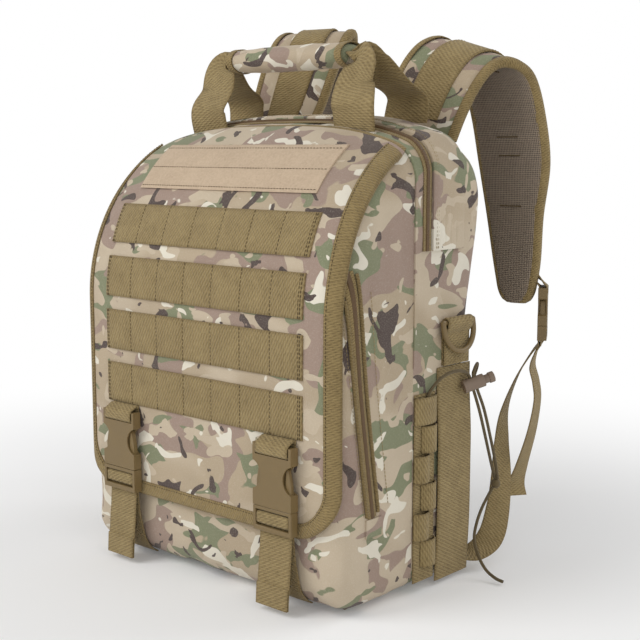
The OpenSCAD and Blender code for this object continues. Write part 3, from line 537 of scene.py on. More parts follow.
# ---- the bag's own surfaces ----
bag = {
    "halfWidth": 165, "sideRadius": 20, "crown": 26, "topY": 52, "reach": 145.5, "rise": 173.5, "curveZ": 250,
    "bottomY": -63.5, "bottomZ": 33, "bottomRadius": 30, "baseZ": 3, "seamY": 3, "backTopY": 58, "backDepth": 53,
    "shoulderZ": 347, "backRise": 76.5, "waistY": 87, "waistZ": 200, "backBottomY": 61, "backBottomZ": 25, "backRadius": 22,
}
flatHalf = bag["halfWidth"] - bag["sideRadius"]


def station(a, h):  # across the bag: flat to 145, then round the corner of radius 20 + h. Gives x, inset and drop
    r = bag["sideRadius"] + h
    phi = np.clip((np.abs(a) - flatHalf) / bag["sideRadius"], 0, np.pi / 2)
    x = np.where(np.abs(a) <= flatHalf, np.abs(a), flatHalf + r * np.sin(phi))
    return np.sign(a) * x, -h + r * (1 - np.cos(phi)), bag["crown"] * (x / (bag["halfWidth"] + h))**3


def frontPoint(a, b, h):  # b is the way down the front: below 0 round the top, to 217 straight, then the bottom edge
    x, i, drop = station(a, h)
    t, phi = np.maximum(-b, 0) / 150, np.maximum(b - 217, 0) / 30
    y = np.where(b < 0, bag["topY"] - (bag["reach"] - i) * np.cos(t),
                 np.where(b < 217, bag["topY"] - bag["reach"] + i, bag["bottomY"] - (bag["bottomRadius"] - i) * np.cos(phi)))
    z = np.where(b < 0, bag["curveZ"] + (bag["rise"] - i - drop) * np.sin(t),
                 np.where(b < 217, bag["curveZ"] - b, bag["bottomZ"] - (bag["bottomRadius"] - i) * np.sin(phi)))
    return np.stack([x, y, z], -1)


def frontAtZ(a, z, h):  # the same surface by height
    x, i, drop = station(a, h)
    sine = np.clip((z - bag["curveZ"]) / (bag["rise"] - i - drop), 0, 1)
    return frontPoint(a, np.where(z > bag["curveZ"], -150 * np.arcsin(sine), bag["curveZ"] - z), h)


def topHeight(y, i, drop):  # height of the roof at a depth y
    front = np.sqrt(np.clip(1 - ((bag["topY"] - y) / (bag["reach"] - i))**2, 0, 1))
    back = np.sqrt(np.clip(1 - ((y - bag["backTopY"]) / (bag["backDepth"] - i))**2, 0, 1))
    return np.where(y < bag["topY"], bag["curveZ"] + (bag["rise"] - i - drop) * front,
                    np.where(y < bag["backTopY"], bag["curveZ"] + bag["rise"] - i - drop,
                             bag["shoulderZ"] + (bag["backRise"] - i - drop) * back))


def archPoint(low):  # over the roof at a depth y, then down each side to the height low
    def point(s, y, h):
        x, i, drop = station(s, h)
        rim = topHeight(y, i, drop)
        part = np.clip((np.abs(s) - flatHalf - 31.42) / 60, 0, 1)
        return np.stack([x, y + 0 * x, rim + (low - rim) * part], -1)
    return point


archStations = np.concatenate([np.linspace(-236.4, -176.5, 26), np.linspace(-176.3, -145.1, 12), np.linspace(-144, 144, 90),
                               np.linspace(145.1, 176.3, 12), np.linspace(176.5, 236.4, 26)])


def sidePoint(sign):  # on the side of the front compartment at y and z: x from the inset there, by halving
    def point(y, z, h):
        low, high = np.zeros_like(y) - h, np.full_like(y, 20.0)
        for _ in range(24):
            i = (low + high) / 2
            x = flatHalf + (20 + h) * np.sqrt(np.clip(1 - (1 - (i + h) / (20 + h))**2, 0, 1))
            drop = bag["crown"] * (x / (165 + h))**3
            inside = np.where(z > bag["curveZ"], ((bag["topY"] - y) / (bag["reach"] - i))**2
                              + (np.maximum(z - bag["curveZ"], 0) / (bag["rise"] - i - drop))**2 < 1,
                              y > bag["topY"] - bag["reach"] + i)
            low, high = np.where(inside, i, low), np.where(inside, high, i)
        i = (low + high) / 2
        x = flatHalf + (20 + h) * np.sqrt(np.clip(1 - (1 - (i + h) / (20 + h))**2, 0, 1))
        return np.stack([sign * x, y, z], -1)
    return point


def compartment(name, outline, hub, seed, finish, replaced, sag):
    # rings of the outline across the bag: corner stations, then the flat side shrunk to its middle
    shrink = np.array([0.03, 0.12, 0.24, 0.36, 0.48, 0.6, 0.7, 0.79, 0.86, 0.92, 0.965])
    a = np.concatenate([np.linspace(176.4, 147, 10), np.linspace(143, 3, 30), [0]])
    s = np.concatenate([-a, a[:-1][::-1]])
    x, i, drop = station(s, 0.0)
    y, z = outline(i[:, None], drop[:, None])
    rings = np.stack([np.broadcast_to(x[:, None], y.shape), y, z], -1)
    centre = np.array([0, hub[0], hub[1]])
    def side(ring):
        flat = centre + (ring - centre) * shrink[:, None, None]
        flat[..., 0] = ring[0, 0]
        return flat
    grid = np.concatenate([side(rings[0]), rings, side(rings[-1])[::-1]])
    thing = ringMesh(name, grid, ends="middle", sharp=60)
    count = len(thing.data.vertices)
    co, normal = np.empty(count * 3), np.empty(count * 3)
    thing.data.vertices.foreach_get("co", co)
    thing.data.vertex_normals.foreach_get("vector", normal)
    co, normal = co.reshape(-1, 3) * 1000, normal.reshape(-1, 3)
    wave = noiseWaves(co, seed, 70) * 1.3 + noiseWaves(co * (1, 1, 0.6), seed + 1, 26) * 0.6
    seam = np.clip(np.abs(co[:, 1] - bag["seamY"]) / 12, 0, 1)
    move = np.clip(wave - sag, -3.2, 0.5) * seam
    co += normal * move[:, None]
    co[:, 2] = np.maximum(co[:, 2], bag["baseZ"])
    thing.data.vertices.foreach_set("co", (co * 0.001).ravel())
    thing.data.update()
    return place(thing, "bag", finish, replaced)


def column(*parts):
    return np.concatenate([np.broadcast_to(p, (max(q.shape[0] for q in parts), p.shape[1])) for p in parts], 1)


def frontOutline(i, drop):
    g = bag
    t = np.arccos((g["topY"] - g["seamY"]) / (g["reach"] - i)) * np.linspace(1, 0, 46)[None]
    phi = np.linspace(0, np.pi / 2, 12)[None, 1:]
    down = np.linspace(250, 33, 54)[None, 1:]
    y = column(g["topY"] - (g["reach"] - i) * np.cos(t), g["topY"] - g["reach"] + i + 0 * down,
               g["bottomY"] - (g["bottomRadius"] - i) * np.cos(phi), np.linspace(-60, 3, 14)[None], np.full((1, 30), 3.0))
    top = (g["curveZ"] + (g["rise"] - i - drop) * np.sin(t))
    z = column(top, down + 0 * i, g["bottomZ"] - (g["bottomRadius"] - i) * np.sin(phi),
               g["baseZ"] + i + np.zeros((1, 14)),
               (g["baseZ"] + i) + (top[:, :1] - g["baseZ"] - i) * np.linspace(0.03, 0.97, 30)[None])
    return y, z


def mainOutline(i, drop):
    g = bag
    first = np.arccos((g["topY"] - g["seamY"]) / (g["reach"] - i))
    t = first + (np.pi / 2 - first) * np.linspace(0, 1, 16)[None]
    a = np.linspace(np.pi / 2, 0, 30)[None]
    phi = np.linspace(0, np.pi / 2, 10)[None, 1:]
    top = g["curveZ"] + (g["rise"] - i - drop) * np.sin(t)
    toWaist, toLow = np.linspace(0, 1, 36)[None, 1:], np.linspace(0, 1, 40)[None, 1:]
    backY, waistY, lowY = g["backTopY"] + g["backDepth"] - i, g["waistY"] - i, g["backBottomY"] + g["backRadius"] - i
    ease = toWaist * toWaist * (3 - 2 * toWaist) * 0.5 + toWaist * 0.5
    y = column(g["topY"] - (g["reach"] - i) * np.cos(t), g["backTopY"] + (g["backDepth"] - i) * np.cos(a),
               backY + (waistY - backY) * ease, waistY + (lowY - waistY) * toLow,
               g["backBottomY"] + (g["backRadius"] - i) * np.cos(phi), np.linspace(57, 3, 12)[None], np.full((1, 30), 3.0))
    z = column(top, g["shoulderZ"] + (g["backRise"] - i - drop) * np.sin(a),
               g["shoulderZ"] + (g["waistZ"] - g["shoulderZ"]) * toWaist + 0 * i,
               g["waistZ"] + (g["backBottomZ"] - g["waistZ"]) * toLow + 0 * i,
               g["backBottomZ"] - (g["backRadius"] - i) * np.sin(phi), g["baseZ"] + i + np.zeros((1, 12)),
               (g["baseZ"] + i) + (top[:, :1] - g["baseZ"] - i) * np.linspace(0.03, 0.97, 30)[None])
    return y, z


compartment("frontBag", frontOutline, (-40, 180), 11, "camo", ["front_compartment"], 0.3)
compartment("mainBag", mainOutline, (45, 200), 23, "camoTop", ["main_compartment"], 0.3)
print("compartments made")

# ---- flap ----
flapSizes = {"halfA": 161.6, "cornerR": 45, "lowZ": 68, "taper": 5.5, "thick": 4.5}


def flapHalf(b):  # half width in stations: a quarter circle at each lower corner, a slight taper towards the hinge
    z = 250 - b
    r = flapSizes["cornerR"]
    up = np.clip(z - flapSizes["lowZ"], 0, r)
    corner = flapSizes["halfA"] - r + np.sqrt(np.maximum(r * r - (r - up)**2, 0))
    return corner - flapSizes["taper"] * np.clip((-43 - b) / 135, 0, 1)


cornerTurn = np.linspace(0, np.pi / 2, 22)
flapRows = np.concatenate([np.linspace(-178, 136, 118), 182 - 45 * (1 - np.cos(cornerTurn[::-1]))])
flapRows[-1] = 182
b, f = np.meshgrid(flapRows, np.linspace(-1, 1, 84), indexing="ij")
a = f * flapHalf(b)


def flapWaves(rows, cols):
    p = np.stack([rows, cols, rows * 0], -1).reshape(-1, 3)
    soft = np.clip((182 - cols) / 30, 0.25, 1)
    return (noiseWaves(p, 31, 90) * 0.5 + noiseWaves(p, 32, 34) * 0.22).reshape(rows.shape) * soft - 0.1


place(layerMesh("flapCloth", frontPoint, a, b, 1.6, 4.4, 0.5, flapWaves), "flap", "camoFlap", ["flap_panel"])

half, r, low = flapSizes["halfA"], flapSizes["cornerR"], 182
turn = np.linspace(0, np.pi / 2, 40)
down = np.linspace(-172, low - r - 1, 110)
leftSide = np.stack([-flapHalf(down), down], 1)
leftCorner = np.stack([-(half - r) - r * np.cos(turn), (low - r) + r * np.sin(turn)], 1)
middle = np.stack([np.linspace(-(half - r) + 3, half - r - 3, 74), np.full(74, float(low))], 1)
rim = np.vstack([leftSide, leftCorner, middle, leftCorner[::-1] * (-1, 1), leftSide[::-1] * (-1, 1)])
rimWay = unit(np.gradient(rim, axis=0))
rimIn = np.stack([rimWay[:, 1], -rimWay[:, 0]], 1)  # a quarter turn from the way along, towards the middle
rimIn *= np.sign((rimIn * (np.array([0, -20]) - rim)).sum(1, keepdims=True))
foldOut = np.array([(12, 5.3), (11.2, 5.75), (8, 5.9), (4, 5.9), (1, 5.7), (-0.8, 4.9), (-1.3, 3.2),
                    (-0.8, 1.7), (1, 1.0), (9, 1.0)])
foldIn = np.array([(12, 4.2), (11.2, 4.2), (8, 4.2), (4, 4.2), (2, 4.2), (0.6, 3.9), (0.2, 3.2), (0.6, 2.3), (2, 1.7), (9, 1.7)])
section = np.vstack([foldOut, foldIn[::-1]])


def rimPoint(depth, h):  # a point that far in from the flap's rim, h off the bag
    at = rim[:, None] + rimIn[:, None] * np.asarray(depth, float)[None, :, None]
    return frontPoint(at[..., 0], at[..., 1], np.broadcast_to(np.asarray(h, float), at.shape[:2]))


grid = rimPoint(section[:, 0], section[:, 1])
run = np.concatenate([[0], np.cumsum(np.linalg.norm(np.diff(grid[:, 2], axis=0), axis=1))])
uv = np.stack(np.broadcast_arrays(run[:, None], section[None, :, 0]), -1) * 0.001
edge = np.stack(np.broadcast_arrays((run / run[-1])[:, None], section[None, :, 0] / 12), -1)
place(ringMesh("flapBinding", grid, uv, edge), "flap", "binding", ["flap_binding"])
flapStitches = [(rimPoint([10.2], [5.95])[:, 0], unit(rimPoint([10.2], [8])[:, 0] - rimPoint([10.2], [5.95])[:, 0]))]

rows = {"half": 128, "firstZ": 153, "pitch": 51, "height": 38, "lift": 6.5, "cells": 7}
for k in range(1, 5):
    z0 = rows["firstZ"] + (4 - k) * rows["pitch"]
    height = rows["height"] - (2 if k == 1 else 0)
    def cellBulge(a, z):
        u = (a + rows["half"]) / (2 * rows["half"])
        across = np.abs((z - z0) / height * 2 - 1)
        return 0.9 * np.abs(np.sin(np.pi * rows["cells"] * u))**0.45 * (1 - 0.3 * across**4) - 0.3
    strip = layerMesh(f"webbingRow{k}", frontAtZ, np.linspace(-rows["half"], rows["half"], 170),
                      np.linspace(z0 + height, z0, 11), 3.9, rows["lift"], 0.7, cellBulge)
    place(strip, "flap", "webbing", [f"webbing_row_{k}"])
    for cell in range(rows["cells"] + 1):
        x = -rows["half"] + cell * 2 * rows["half"] / rows["cells"]
        x += 2.2 if cell == 0 else -2.2 if cell == rows["cells"] else 0
        for gap in ((0,) if 0 < cell < rows["cells"] else (0, 2.0 if cell == 0 else -2.0)):
            z = np.linspace(z0 + 1.5, z0 + height - 1.5, 24)
            line = frontAtZ(np.full(24, x + gap), z, np.full(24, rows["lift"] + 0.02))
            flapStitches.append((line, unit(frontAtZ(np.full(24, x + gap), z, np.full(24, 9.0)) - line)))

panel = {"half": 114, "low": 357.1, "high": 397.6, "lift": 6.1}
pile = layerMesh("loopPanel", frontAtZ, np.linspace(-panel["half"], panel["half"], 120),
                 np.linspace(panel["high"], panel["low"], 26), 3.9, panel["lift"], 0.5,
                 lambda a, z: 0.25 * noiseWaves(np.stack([a, z, z], -1).reshape(-1, 3), 5, 30).reshape(a.shape))
place(pile, "flap", "loop", ["loop_panel"])
x = np.linspace(-panel["half"] + 3, panel["half"] - 3, 90)
for z in (panel["low"] + 3, panel["high"] - 3, 377.0):
    line = frontAtZ(x, np.full(90, z), np.full(90, panel["lift"] + 0.15))
    flapStitches.append((line, unit(frontAtZ(x, np.full(90, z), np.full(90, 9.0)) - line)))
place(stitchMesh("flapStitches", flapStitches), "flap", "darkThread", ())
print("flap made")

# ---- roof, zips, welt and side cloth ----
storm = {"front": 27, "back": 72, "low": 306, "thick": 3.0, "pleats": (36, 44, 52, 60)}


def pleatFolds(s, y):  # shallow creases that run up from the storm flap's sewn end
    part = np.clip((np.abs(s) - 200) / 30, 0, 1)
    crease = sum(np.exp(-((y - p) / 0.9)**2) for p in storm["pleats"])
    hem = 0.5 * np.exp(-((y - storm["front"] - 5) / 5)**2)
    p = np.stack([s, y * 1.5, s * 0], -1).reshape(-1, 3)
    return hem - 0.9 * crease * part + 0.35 * noiseWaves(p, 41, 40).reshape(s.shape) - 0.2


place(layerMesh("stormFlap", archPoint(storm["low"]), archStations, np.linspace(storm["front"], storm["back"], 46), 0.0,
                storm["thick"], 0.6, pleatFolds), "bag", "camoTop", ["storm_flap"])
place(layerMesh("mainZipTape", archPoint(306), archStations, np.linspace(14.5, 25.5, 8), 0.0, 1.0, 0.2), "bag", "tape",
      ["main_zip"])
zipRun = np.concatenate([np.linspace(-236.4, -176.4, 240), np.linspace(-176.4, 176.4, 900), np.linspace(176.4, 236.4, 240)])
coil = layerMesh("mainZipTeeth", archPoint(306), zipRun, np.linspace(17.9, 22.1, 7), 0.8, 1.9, 0.3,
                 lambda s, y: 0.28 * np.sin(s * 2 * np.pi / 1.9 + 1.2 * np.sign(y - 20)))
place(coil, "bag", "teeth", ())
place(layerMesh("seamWelt", archPoint(205), archStations, np.linspace(2.6, 5.6, 8), 0.0, 1.7, 0.5), "bag", "camoTop",
      ["seam_welt"])

frontZip = {"top": 296, "pipingTop": 274, "pitch": 1.9}
zipLine = [(-52, 84), (-68, 188), (-77, 270), (-83.5, 306), (-88, 326)]
zipPath = evenPath(smoothPath(zipLine, 20), 1.5)
zipPath = zipPath[zipPath[:, 1] < frontZip["top"]]
pipingPath = zipPath[zipPath[:, 1] < frontZip["pipingTop"]]  # the front piping and the stitches end below the zip's top
finePath = evenPath(zipPath, 0.45)


def besideZip(path, side, offset):  # surface points at an offset square to the zip in the side's plane
    way = unit(np.gradient(path, axis=0))
    square = np.stack([-way[:, 1], way[:, 0]], 1)
    at = path[:, None] + square[:, None] * np.asarray(offset, float)[None, :, None]
    return lambda h: sidePoint(side)(at[..., 0], at[..., 1], np.broadcast_to(h, at.shape[:2]))


def zipLayer(name, path, side, offsets, low, high, ripple=0.0):
    surface = besideZip(path, side, offsets)
    run = np.arange(len(path)) * np.linalg.norm(path[1] - path[0])
    wave = ripple * np.sin(run * 2 * np.pi / frontZip["pitch"])[:, None] * np.sign(np.asarray(offsets))[None]
    rim = (1 - np.abs(np.linspace(-1, 1, len(offsets)))**12)[None]
    up, down = surface(high - 0.5 * (high - low) * (1 - rim) + wave * rim), surface(low)
    grid = np.concatenate([up, down[:, ::-1]], 1)
    wide = np.concatenate([offsets, offsets[::-1]])
    uv = np.stack(np.broadcast_arrays(run[:, None], wide[None]), -1) * 0.001
    edge = np.stack(np.broadcast_arrays((run / run[-1])[:, None], (wide[None] - wide.min()) / np.ptp(wide)), -1)
    return ringMesh(name, grid, uv, edge)


bagStitches = []
for side, word in ((-1, "Left"), (1, "Right")):
    tape = zipLayer(f"frontZipTape{word}", zipPath, side, np.linspace(-5.6, 5.6, 9), 0.0, 1.0)
    teeth = zipLayer(f"frontZipTeeth{word}", finePath, side, np.linspace(-2.1, 2.1, 7), 0.7, 1.7, 0.25)
    place(tape, "bag", "tape", ["front_zip"] if side > 0 else ())
    place(teeth, "bag", "teeth", ())
    for s, which in ((-1, "Rear"), (1, "Front")):
        core = besideZip(zipPath[:-2] if s < 0 else pipingPath, side, np.array([7.4 * s]))(1.1)[:, 0]
        rope = tubeMesh(f"piping{which}{word}", core[2:], 1.7, 12)
        place(rope, "bag", "binding", ["zip_piping"] if side > 0 and s > 0 else ())
    for offset in (10.5, -10.5, -22.0):
        line = besideZip(pipingPath[4:], side, np.array([offset]))
        bagStitches.append((line(0.55)[:, 0], unit(line(4.0)[:, 0] - line(0.55)[:, 0])))
    y, z = np.meshgrid(np.linspace(-61, -41, 14), np.linspace(83.4, 67.4, 12), indexing="ij")
    up, down = sidePoint(side)(y, z, np.full(y.shape, 1.7)), sidePoint(side)(y, z, np.zeros(y.shape))
    tab = ringMesh(f"zipEnd{word}", np.concatenate([up, down[:, ::-1]], 1))
    place(tab, "bag", "camo", ["zip_end_tabs"] if side > 0 else ())
    for y in (storm["front"] + 4, storm["front"] + 6.5):
        line = archPoint(306)(np.linspace(180, 234, 20) * side, np.full(20, y), np.full(20, 3.1))
        bagStitches.append((line, np.array([side, 0, 0.0])))
seam = layerMesh("flapSeam", frontPoint, np.linspace(-154, 154, 90), np.linspace(-185.5, -180.8, 8), 0.0, 2.3, 0.5)
place(seam, "bag", "binding", ["flap_seam"])
roofLine = np.linspace(-172, 172, 160)
for y in (31, 33.2):
    line = archPoint(306)(roofLine, np.full(160, float(y)), np.full(160, 3.25))
    bagStitches.append((line, unit(archPoint(306)(roofLine, np.full(160, float(y)), np.full(160, 6.0)) - line)))
print("zips made")

# ---- back pad: sewn channels ----
pad = {"half": 125, "low": 22, "high": 357, "thick": 6, "channels": 7}


def backPoint(a, q, h):  # down the back from the top of the pad: the roof's curve, the waist, then the lower back
    i = -h
    z = 347 - q
    up = np.clip((-q) / (76.5 - i), 0, 0.95)
    waist = np.clip((347 - z) / 147, 0, 1)
    ease = waist * waist * (3 - 2 * waist) * 0.5 + waist * 0.5
    low = np.clip((200 - z) / 175, 0, 1)
    y = np.where(q < 0, 58 + (53 - i) * np.sqrt(1 - up**2),
                 np.where(z > 200, (111 - i) + (87 - 111) * ease, (87 - i) + (83 - 87) * low))
    return np.stack([a + 0 * q, y, z + 0 * a], -1)


def channels(a, q):
    u, v = (a + 125) / 250, (q + 10) / 332
    groove = np.abs(np.sin(np.pi * 3 * u))**0.35 * np.abs(np.sin(np.pi * pad["channels"] * v))**0.3
    return -3.4 * (1 - groove) + 0.5


place(layerMesh("backPad", backPoint, np.linspace(-125, 125, 120), np.linspace(-9, 322, 170), -0.3, 6.0, 1.2, channels),
      "bag", "back", ["back_pad"])
print("back pad made")

# ---- handle ----
handle = {"grip": (28, 478), "length": 150, "width": 34, "height": 22, "webbing": 48, "endWidth": 22, "legX": 88.4}
frontFoot, rearFoot = (93, 9, 413.5), (104, 66, 421.5)


def handleLeg(foot, bow):  # from the roof up, turning in to the end of the wrap
    y, z = handle["grip"]
    s = np.sign(y - foot[1])
    w = handle["webbing"]
    return np.array([(foot[0], foot[1] - s * 1.2, foot[2] - 3.5, 1, 0, -0.12, w),
                     (foot[0] + 0.5, foot[1] + 0.7 * bow, foot[2] + 18, 1, 0, -0.1, w),
                     (foot[0] - 5, (foot[1] + y) / 2 + bow, (foot[2] + z) / 2 + 5, 1, 0, 0, 0.92 * w),
                     (handle["legX"] + 3, y - s * 9, z - 9, 0.95, 0, 0.3, 0.75 * w),
                     (handle["legX"] - 1, y - s * 5, z + 1, 0.8, 0, 0.6, handle["endWidth"]),
                     (handle["legX"] - 12, y - s * 3, z + 2, 0.1, s, 0.1, handle["endWidth"] - 4)])


for side, word in ((-1, "left"), (1, "right")):
    for foot, bow, which in ((frontFoot, -6, "Front"), (rearFoot, 2, "Rear")):
        p = evenPath(smoothPath(handleLeg(foot, bow), 10), 2.0)
        leg = strapMesh(f"handle{which}{word.title()}", p[:, :3] * (side, 1, 1), p[:, 3:6] * (side, 1, 1), p[:, 6], 2.2)
        placeWebbing(leg, "bag", f"handle_loop_{word}" if which == "Front" else None)
u = np.linspace(-1, 1, 70)
turn = np.linspace(0, 2 * np.pi, 57)[:-1]
x = handle["length"] / 2 * np.sign(u) * np.abs(u)**0.8
fat = 0.985 * (1 - np.abs(u)**16 * 0.30)
wrapY = handle["grip"][0] + fat[:, None] * handle["width"] / 2 * np.cos(turn)[None]
wrapZ = handle["grip"][1] + fat[:, None] * handle["height"] / 2 * np.sin(turn)[None]
skin = np.stack([np.broadcast_to(x[:, None], wrapY.shape), wrapY, wrapZ], -1)
out = unit(skin - np.array([0, *handle["grip"]]) * (1, 1, 1) * (0, 1, 1) - np.stack([skin[..., 0], 0 * wrapY, 0 * wrapY], -1))
ridge = 0.9 * np.exp(-(((turn[None] - 1.15) / 0.10)**2)) - 1.0 * np.exp(-(((turn[None] - 0.98) / 0.06)**2))
skin += out * (0.5 * noiseWaves(skin.reshape(-1, 3), 61, 22).reshape(wrapY.shape) + ridge)[..., None]
wrap = ringMesh("handleWrap", skin, ends="middle", sharp=70)
swell(wrap, 3.0, 3.0, 1.5)
place(wrap, "bag", "camoTop", ["handle_wrap"])
for s in (-1, 1):
    ring = s * (handle["length"] / 2 - 5)
    around = np.stack([np.full(50, ring), handle["grip"][0] + 17.4 * np.cos(np.linspace(0, 2 * np.pi, 50)),
                       handle["grip"][1] + 11.4 * np.sin(np.linspace(0, 2 * np.pi, 50))], 1)
    hoop = strapMesh(f"wrapEnd{'L' if s < 0 else 'R'}", around, (1, 0, 0), 8.0, 1.2)
    place(hoop, "bag", "binding", ())
print("handle made")

# ---- sides ----
sideX, stripY, stripW = 165, 36, 50
ringY, barX, barZ, foldR = 62, 169.8, 241, 3.8


def sideStrap(name, side, yz, width, thick, y, **more):  # a strap in the plane of constant y, given by x and z
    p = np.array([(side * q[0], y, q[1]) for q in yz])
    return strapMesh(name, p, (0, side, 0), width, thick, **more)


def sideSeam(side, out, y, z, count):  # a row of stitches on a side, between two depths and two heights
    p = np.stack([np.full(count, side * (sideX + out)), np.linspace(*y, count), np.linspace(*z, count)], 1)
    bagStitches.append((p, np.array([side, 0, 0.0])))


for side, word in ((-1, "left"), (1, "right")):
    title = word.title()
    line = evenPath(smoothPath([(sideX + 1.1, 4.5), (sideX + 2.0, 22), (sideX + 3.6, 60), (sideX + 3.8, 110), (sideX + 3.6, 140),
                                (sideX + 1.6, 176), (sideX + 1.2, 201)], 10), 3)
    placeWebbing(sideStrap(f"wideStrip{title}", side, line, stripW, 2.2, stripY + stripW / 2), "bag", f"side_strip_{word}")
    arc = [(barX + foldR * math.cos(q), barZ + foldR * math.sin(q)) for q in np.linspace(math.pi, 0, 13)]
    fold = [(sideX + 1.1, 202.5), (sideX + 1.0, 225)] + arc
    fold += [(barX + foldR - 1.2, barZ - 5), (sideX + 3.6, barZ - 10), (sideX + 3.4, 202.5)]
    placeWebbing(sideStrap(f"ringLoop{title}", side, evenPath(fold, 1.2), 38, 1.9, ringY), "bag", f"ring_loop_{word}")
    for z in (205.1, 206.9, 229.0):
        sideSeam(side, 4.5, (ringY - 16.5, ringY + 16.5), (z, z), 20)
    for z, out in ((199.0, 2.35), (196.6, 2.35), (8.5, 2.45)):
        sideSeam(side, out, (stripY + 2, stripY + stripW - 2), (z, z), 26)
    base = [(sideX + 0.8, 10), (sideX + 0.8, 60), (sideX + 0.8, 120), (sideX + 0.8, 181)]
    placeWebbing(sideStrap(f"ladderBase{title}", side, evenPath(base, 3), 30, 1.4, 19), "bag", f"ladder_{word}")
    loops = [(19, 153, 30)] + [(4 + (k % 2) * 10 + 10, 153 - 26.1 * k, 20) for k in range(1, 6)]
    for n, (y, z, width) in enumerate(loops):
        t = np.linspace(-1, 1, 25)
        rise = 5.6 * (1 - t**2)**0.8 if width < 25 else 4.6 * (1 - t**2)**0.7
        bow = np.stack([side * (sideX + 1.6 + rise), y + t * width / 2, np.full(25, z + 13.0)], 1)
        placeWebbing(strapMesh(f"ladderLoop{n}{title}", bow, (0, 0, 1), 24.6, 1.8), "bag")
        for e in (-1, 1):
            row = y + e * (width / 2 - 1.2)
            sideSeam(side, 2.5, (row, row), (z + 2, z + 24), 9)
place(stitchMesh("bagStitches", bagStitches), "bag", "thread", ())
place(layerMesh("basePanel", lambda a, b, h: np.stack([a, b, -h], -1), np.linspace(-145, 145, 60), np.linspace(-63.5, 61, 26),
                -2.9, 0.0, 0.4), "bag", "webbing", ["base_panel"])
print("sides made")


# ---- buckles: the CAD shapes with moulded edges ----
def moulded(node, finish, edge=0.0008):
    source = nodes[node]
    mesh = source.data.copy()
    thing = bpy.data.objects.new(node.title().replace("_", ""), mesh)
    scene.collection.objects.link(thing)
    work = bmesh.new()
    work.from_mesh(mesh)
    bmesh.ops.remove_doubles(work, verts=work.verts, dist=0.00002)
    bmesh.ops.dissolve_limit(work, angle_limit=0.02, verts=work.verts, edges=work.edges)
    work.to_mesh(mesh)
    work.free()
    mesh.polygons.foreach_set("use_smooth", [True] * len(mesh.polygons))
    mesh.set_sharp_from_angle(angle=math.radians(50))
    bevel = thing.modifiers.new("edge", "BEVEL")
    bevel.width, bevel.segments, bevel.limit_method, bevel.angle_limit = edge, 2, "ANGLE", math.radians(35)
    bevel.use_clamp_overlap = True
    body = source.parent.get("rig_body") or body_of(source)[0]
    return place(thing, body, finish, [node])


for word in ("left", "right"):
    for part in ("flap_buckle_female", "flap_buckle_male", "shoulder_buckle_female", "shoulder_buckle_male"):
        moulded(f"{part}_{word}", "plastic", 0.0009 if "flap" in part else 0.0006)

buckles = {"x": 102, "back": -100.3}
for side, word in ((-1, "left"), (1, "right")):
    x = side * buckles["x"]
    tie = roundCorners([(-98.8, 152.6), (-99.1, 139.6), (-104, 138.4), (-108.4, 138.0), (-109.9, 139.6), (-109.6, 147.0),
                        (-106, 149.4), (-101.4, 152.0)], 2.0)
    p = acrossAt(x, evenPath(tie, 0.8))
    placeWebbing(strapMesh(f"buckleTie{word.title()}", p, (1, 0, 0), 37.6, 1.6), "flap", f"flap_buckle_web_{word}")
    b = buckles["back"]
    turns = [math.radians(q) for q in (243, 232, 222, 211, 200, 190)]
    under = [(-63.5 + 31.9 * math.cos(q), 33 + 31.9 * math.sin(q)) for q in turns]
    thread = under + [(b + 1.0, 46), (b - 0.9, 62), (b - 1.2, 80), (b - 1.2, 86.4), (b - 8, 86.4), (b - 8, 76.7), (b - 3.4, 76.7),
                      (b - 3.4, 68), (b - 4.6, 52), (b - 7, 27), (b - 8.5, 5.2)]
    p = acrossAt(x, evenPath(roundCorners(thread, 2.2), 1.0))
    strap = placeWebbing(strapMesh(f"flapStrap{word.title()}", p, (1, 0, 0), 37.6, 1.6), None, f"flap_strap_{word}")
    hem = [(b - 5.9, 24.0), (b - 8.9, 24.0), (b - 10.0, 5.2)]
    h = acrossAt(x, evenPath(roundCorners(hem, 1.0), 1.0))
    end = placeWebbing(strapMesh(f"flapStrapHem{word.title()}", h, (1, 0, 0), 37.2, 1.3), None)
    for piece in (strap, end):
        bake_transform(piece, "bag", f"flap_male_{word}", start=(x * 0.001, -0.1, 0.004), end=(x * 0.001, -0.1, 0.068))
print("buckles made")

# ---- shoulder straps ----
pathRight = [(92.9, 100.8, 404.7, 0, -0.105, 84), (99, 106, 434, 6, -0.2, 84), (106, 117, 462, 10, -0.26, 84),
             (114, 133, 481, 8, -0.3, 84), (125, 151, 484, 4, -0.3, 84), (135, 168, 464, 0, -0.1, 82), (142, 177, 426, 0, 0, 80),
             (149, 179, 380, 0, 0, 77), (152, 178, 330, 0, 0, 60.5), (156, 177, 284, 0, 0, 49.3), (158, 175, 246, 0, 0, 34)]
pathLeft = [(90.6, 100.6, 404.7, 0, -0.105, 84), (81, 105, 434, -12, 0, 84), (73, 112, 468, -18, 0, 84),
            (68, 124, 499, -18, 0, 84), (70, 142, 511, -12, 0, 84), (79, 160, 502, -6, 0, 82), (92, 174, 462, 0, 0, 80), (110, 180, 410, 0, 0, 77),
            (130, 180, 350, 0, 0, 60.5), (147, 178, 294, 0, 0, 49.3), (158, 175, 246, 0, 0, 34)]


tipLength = 15


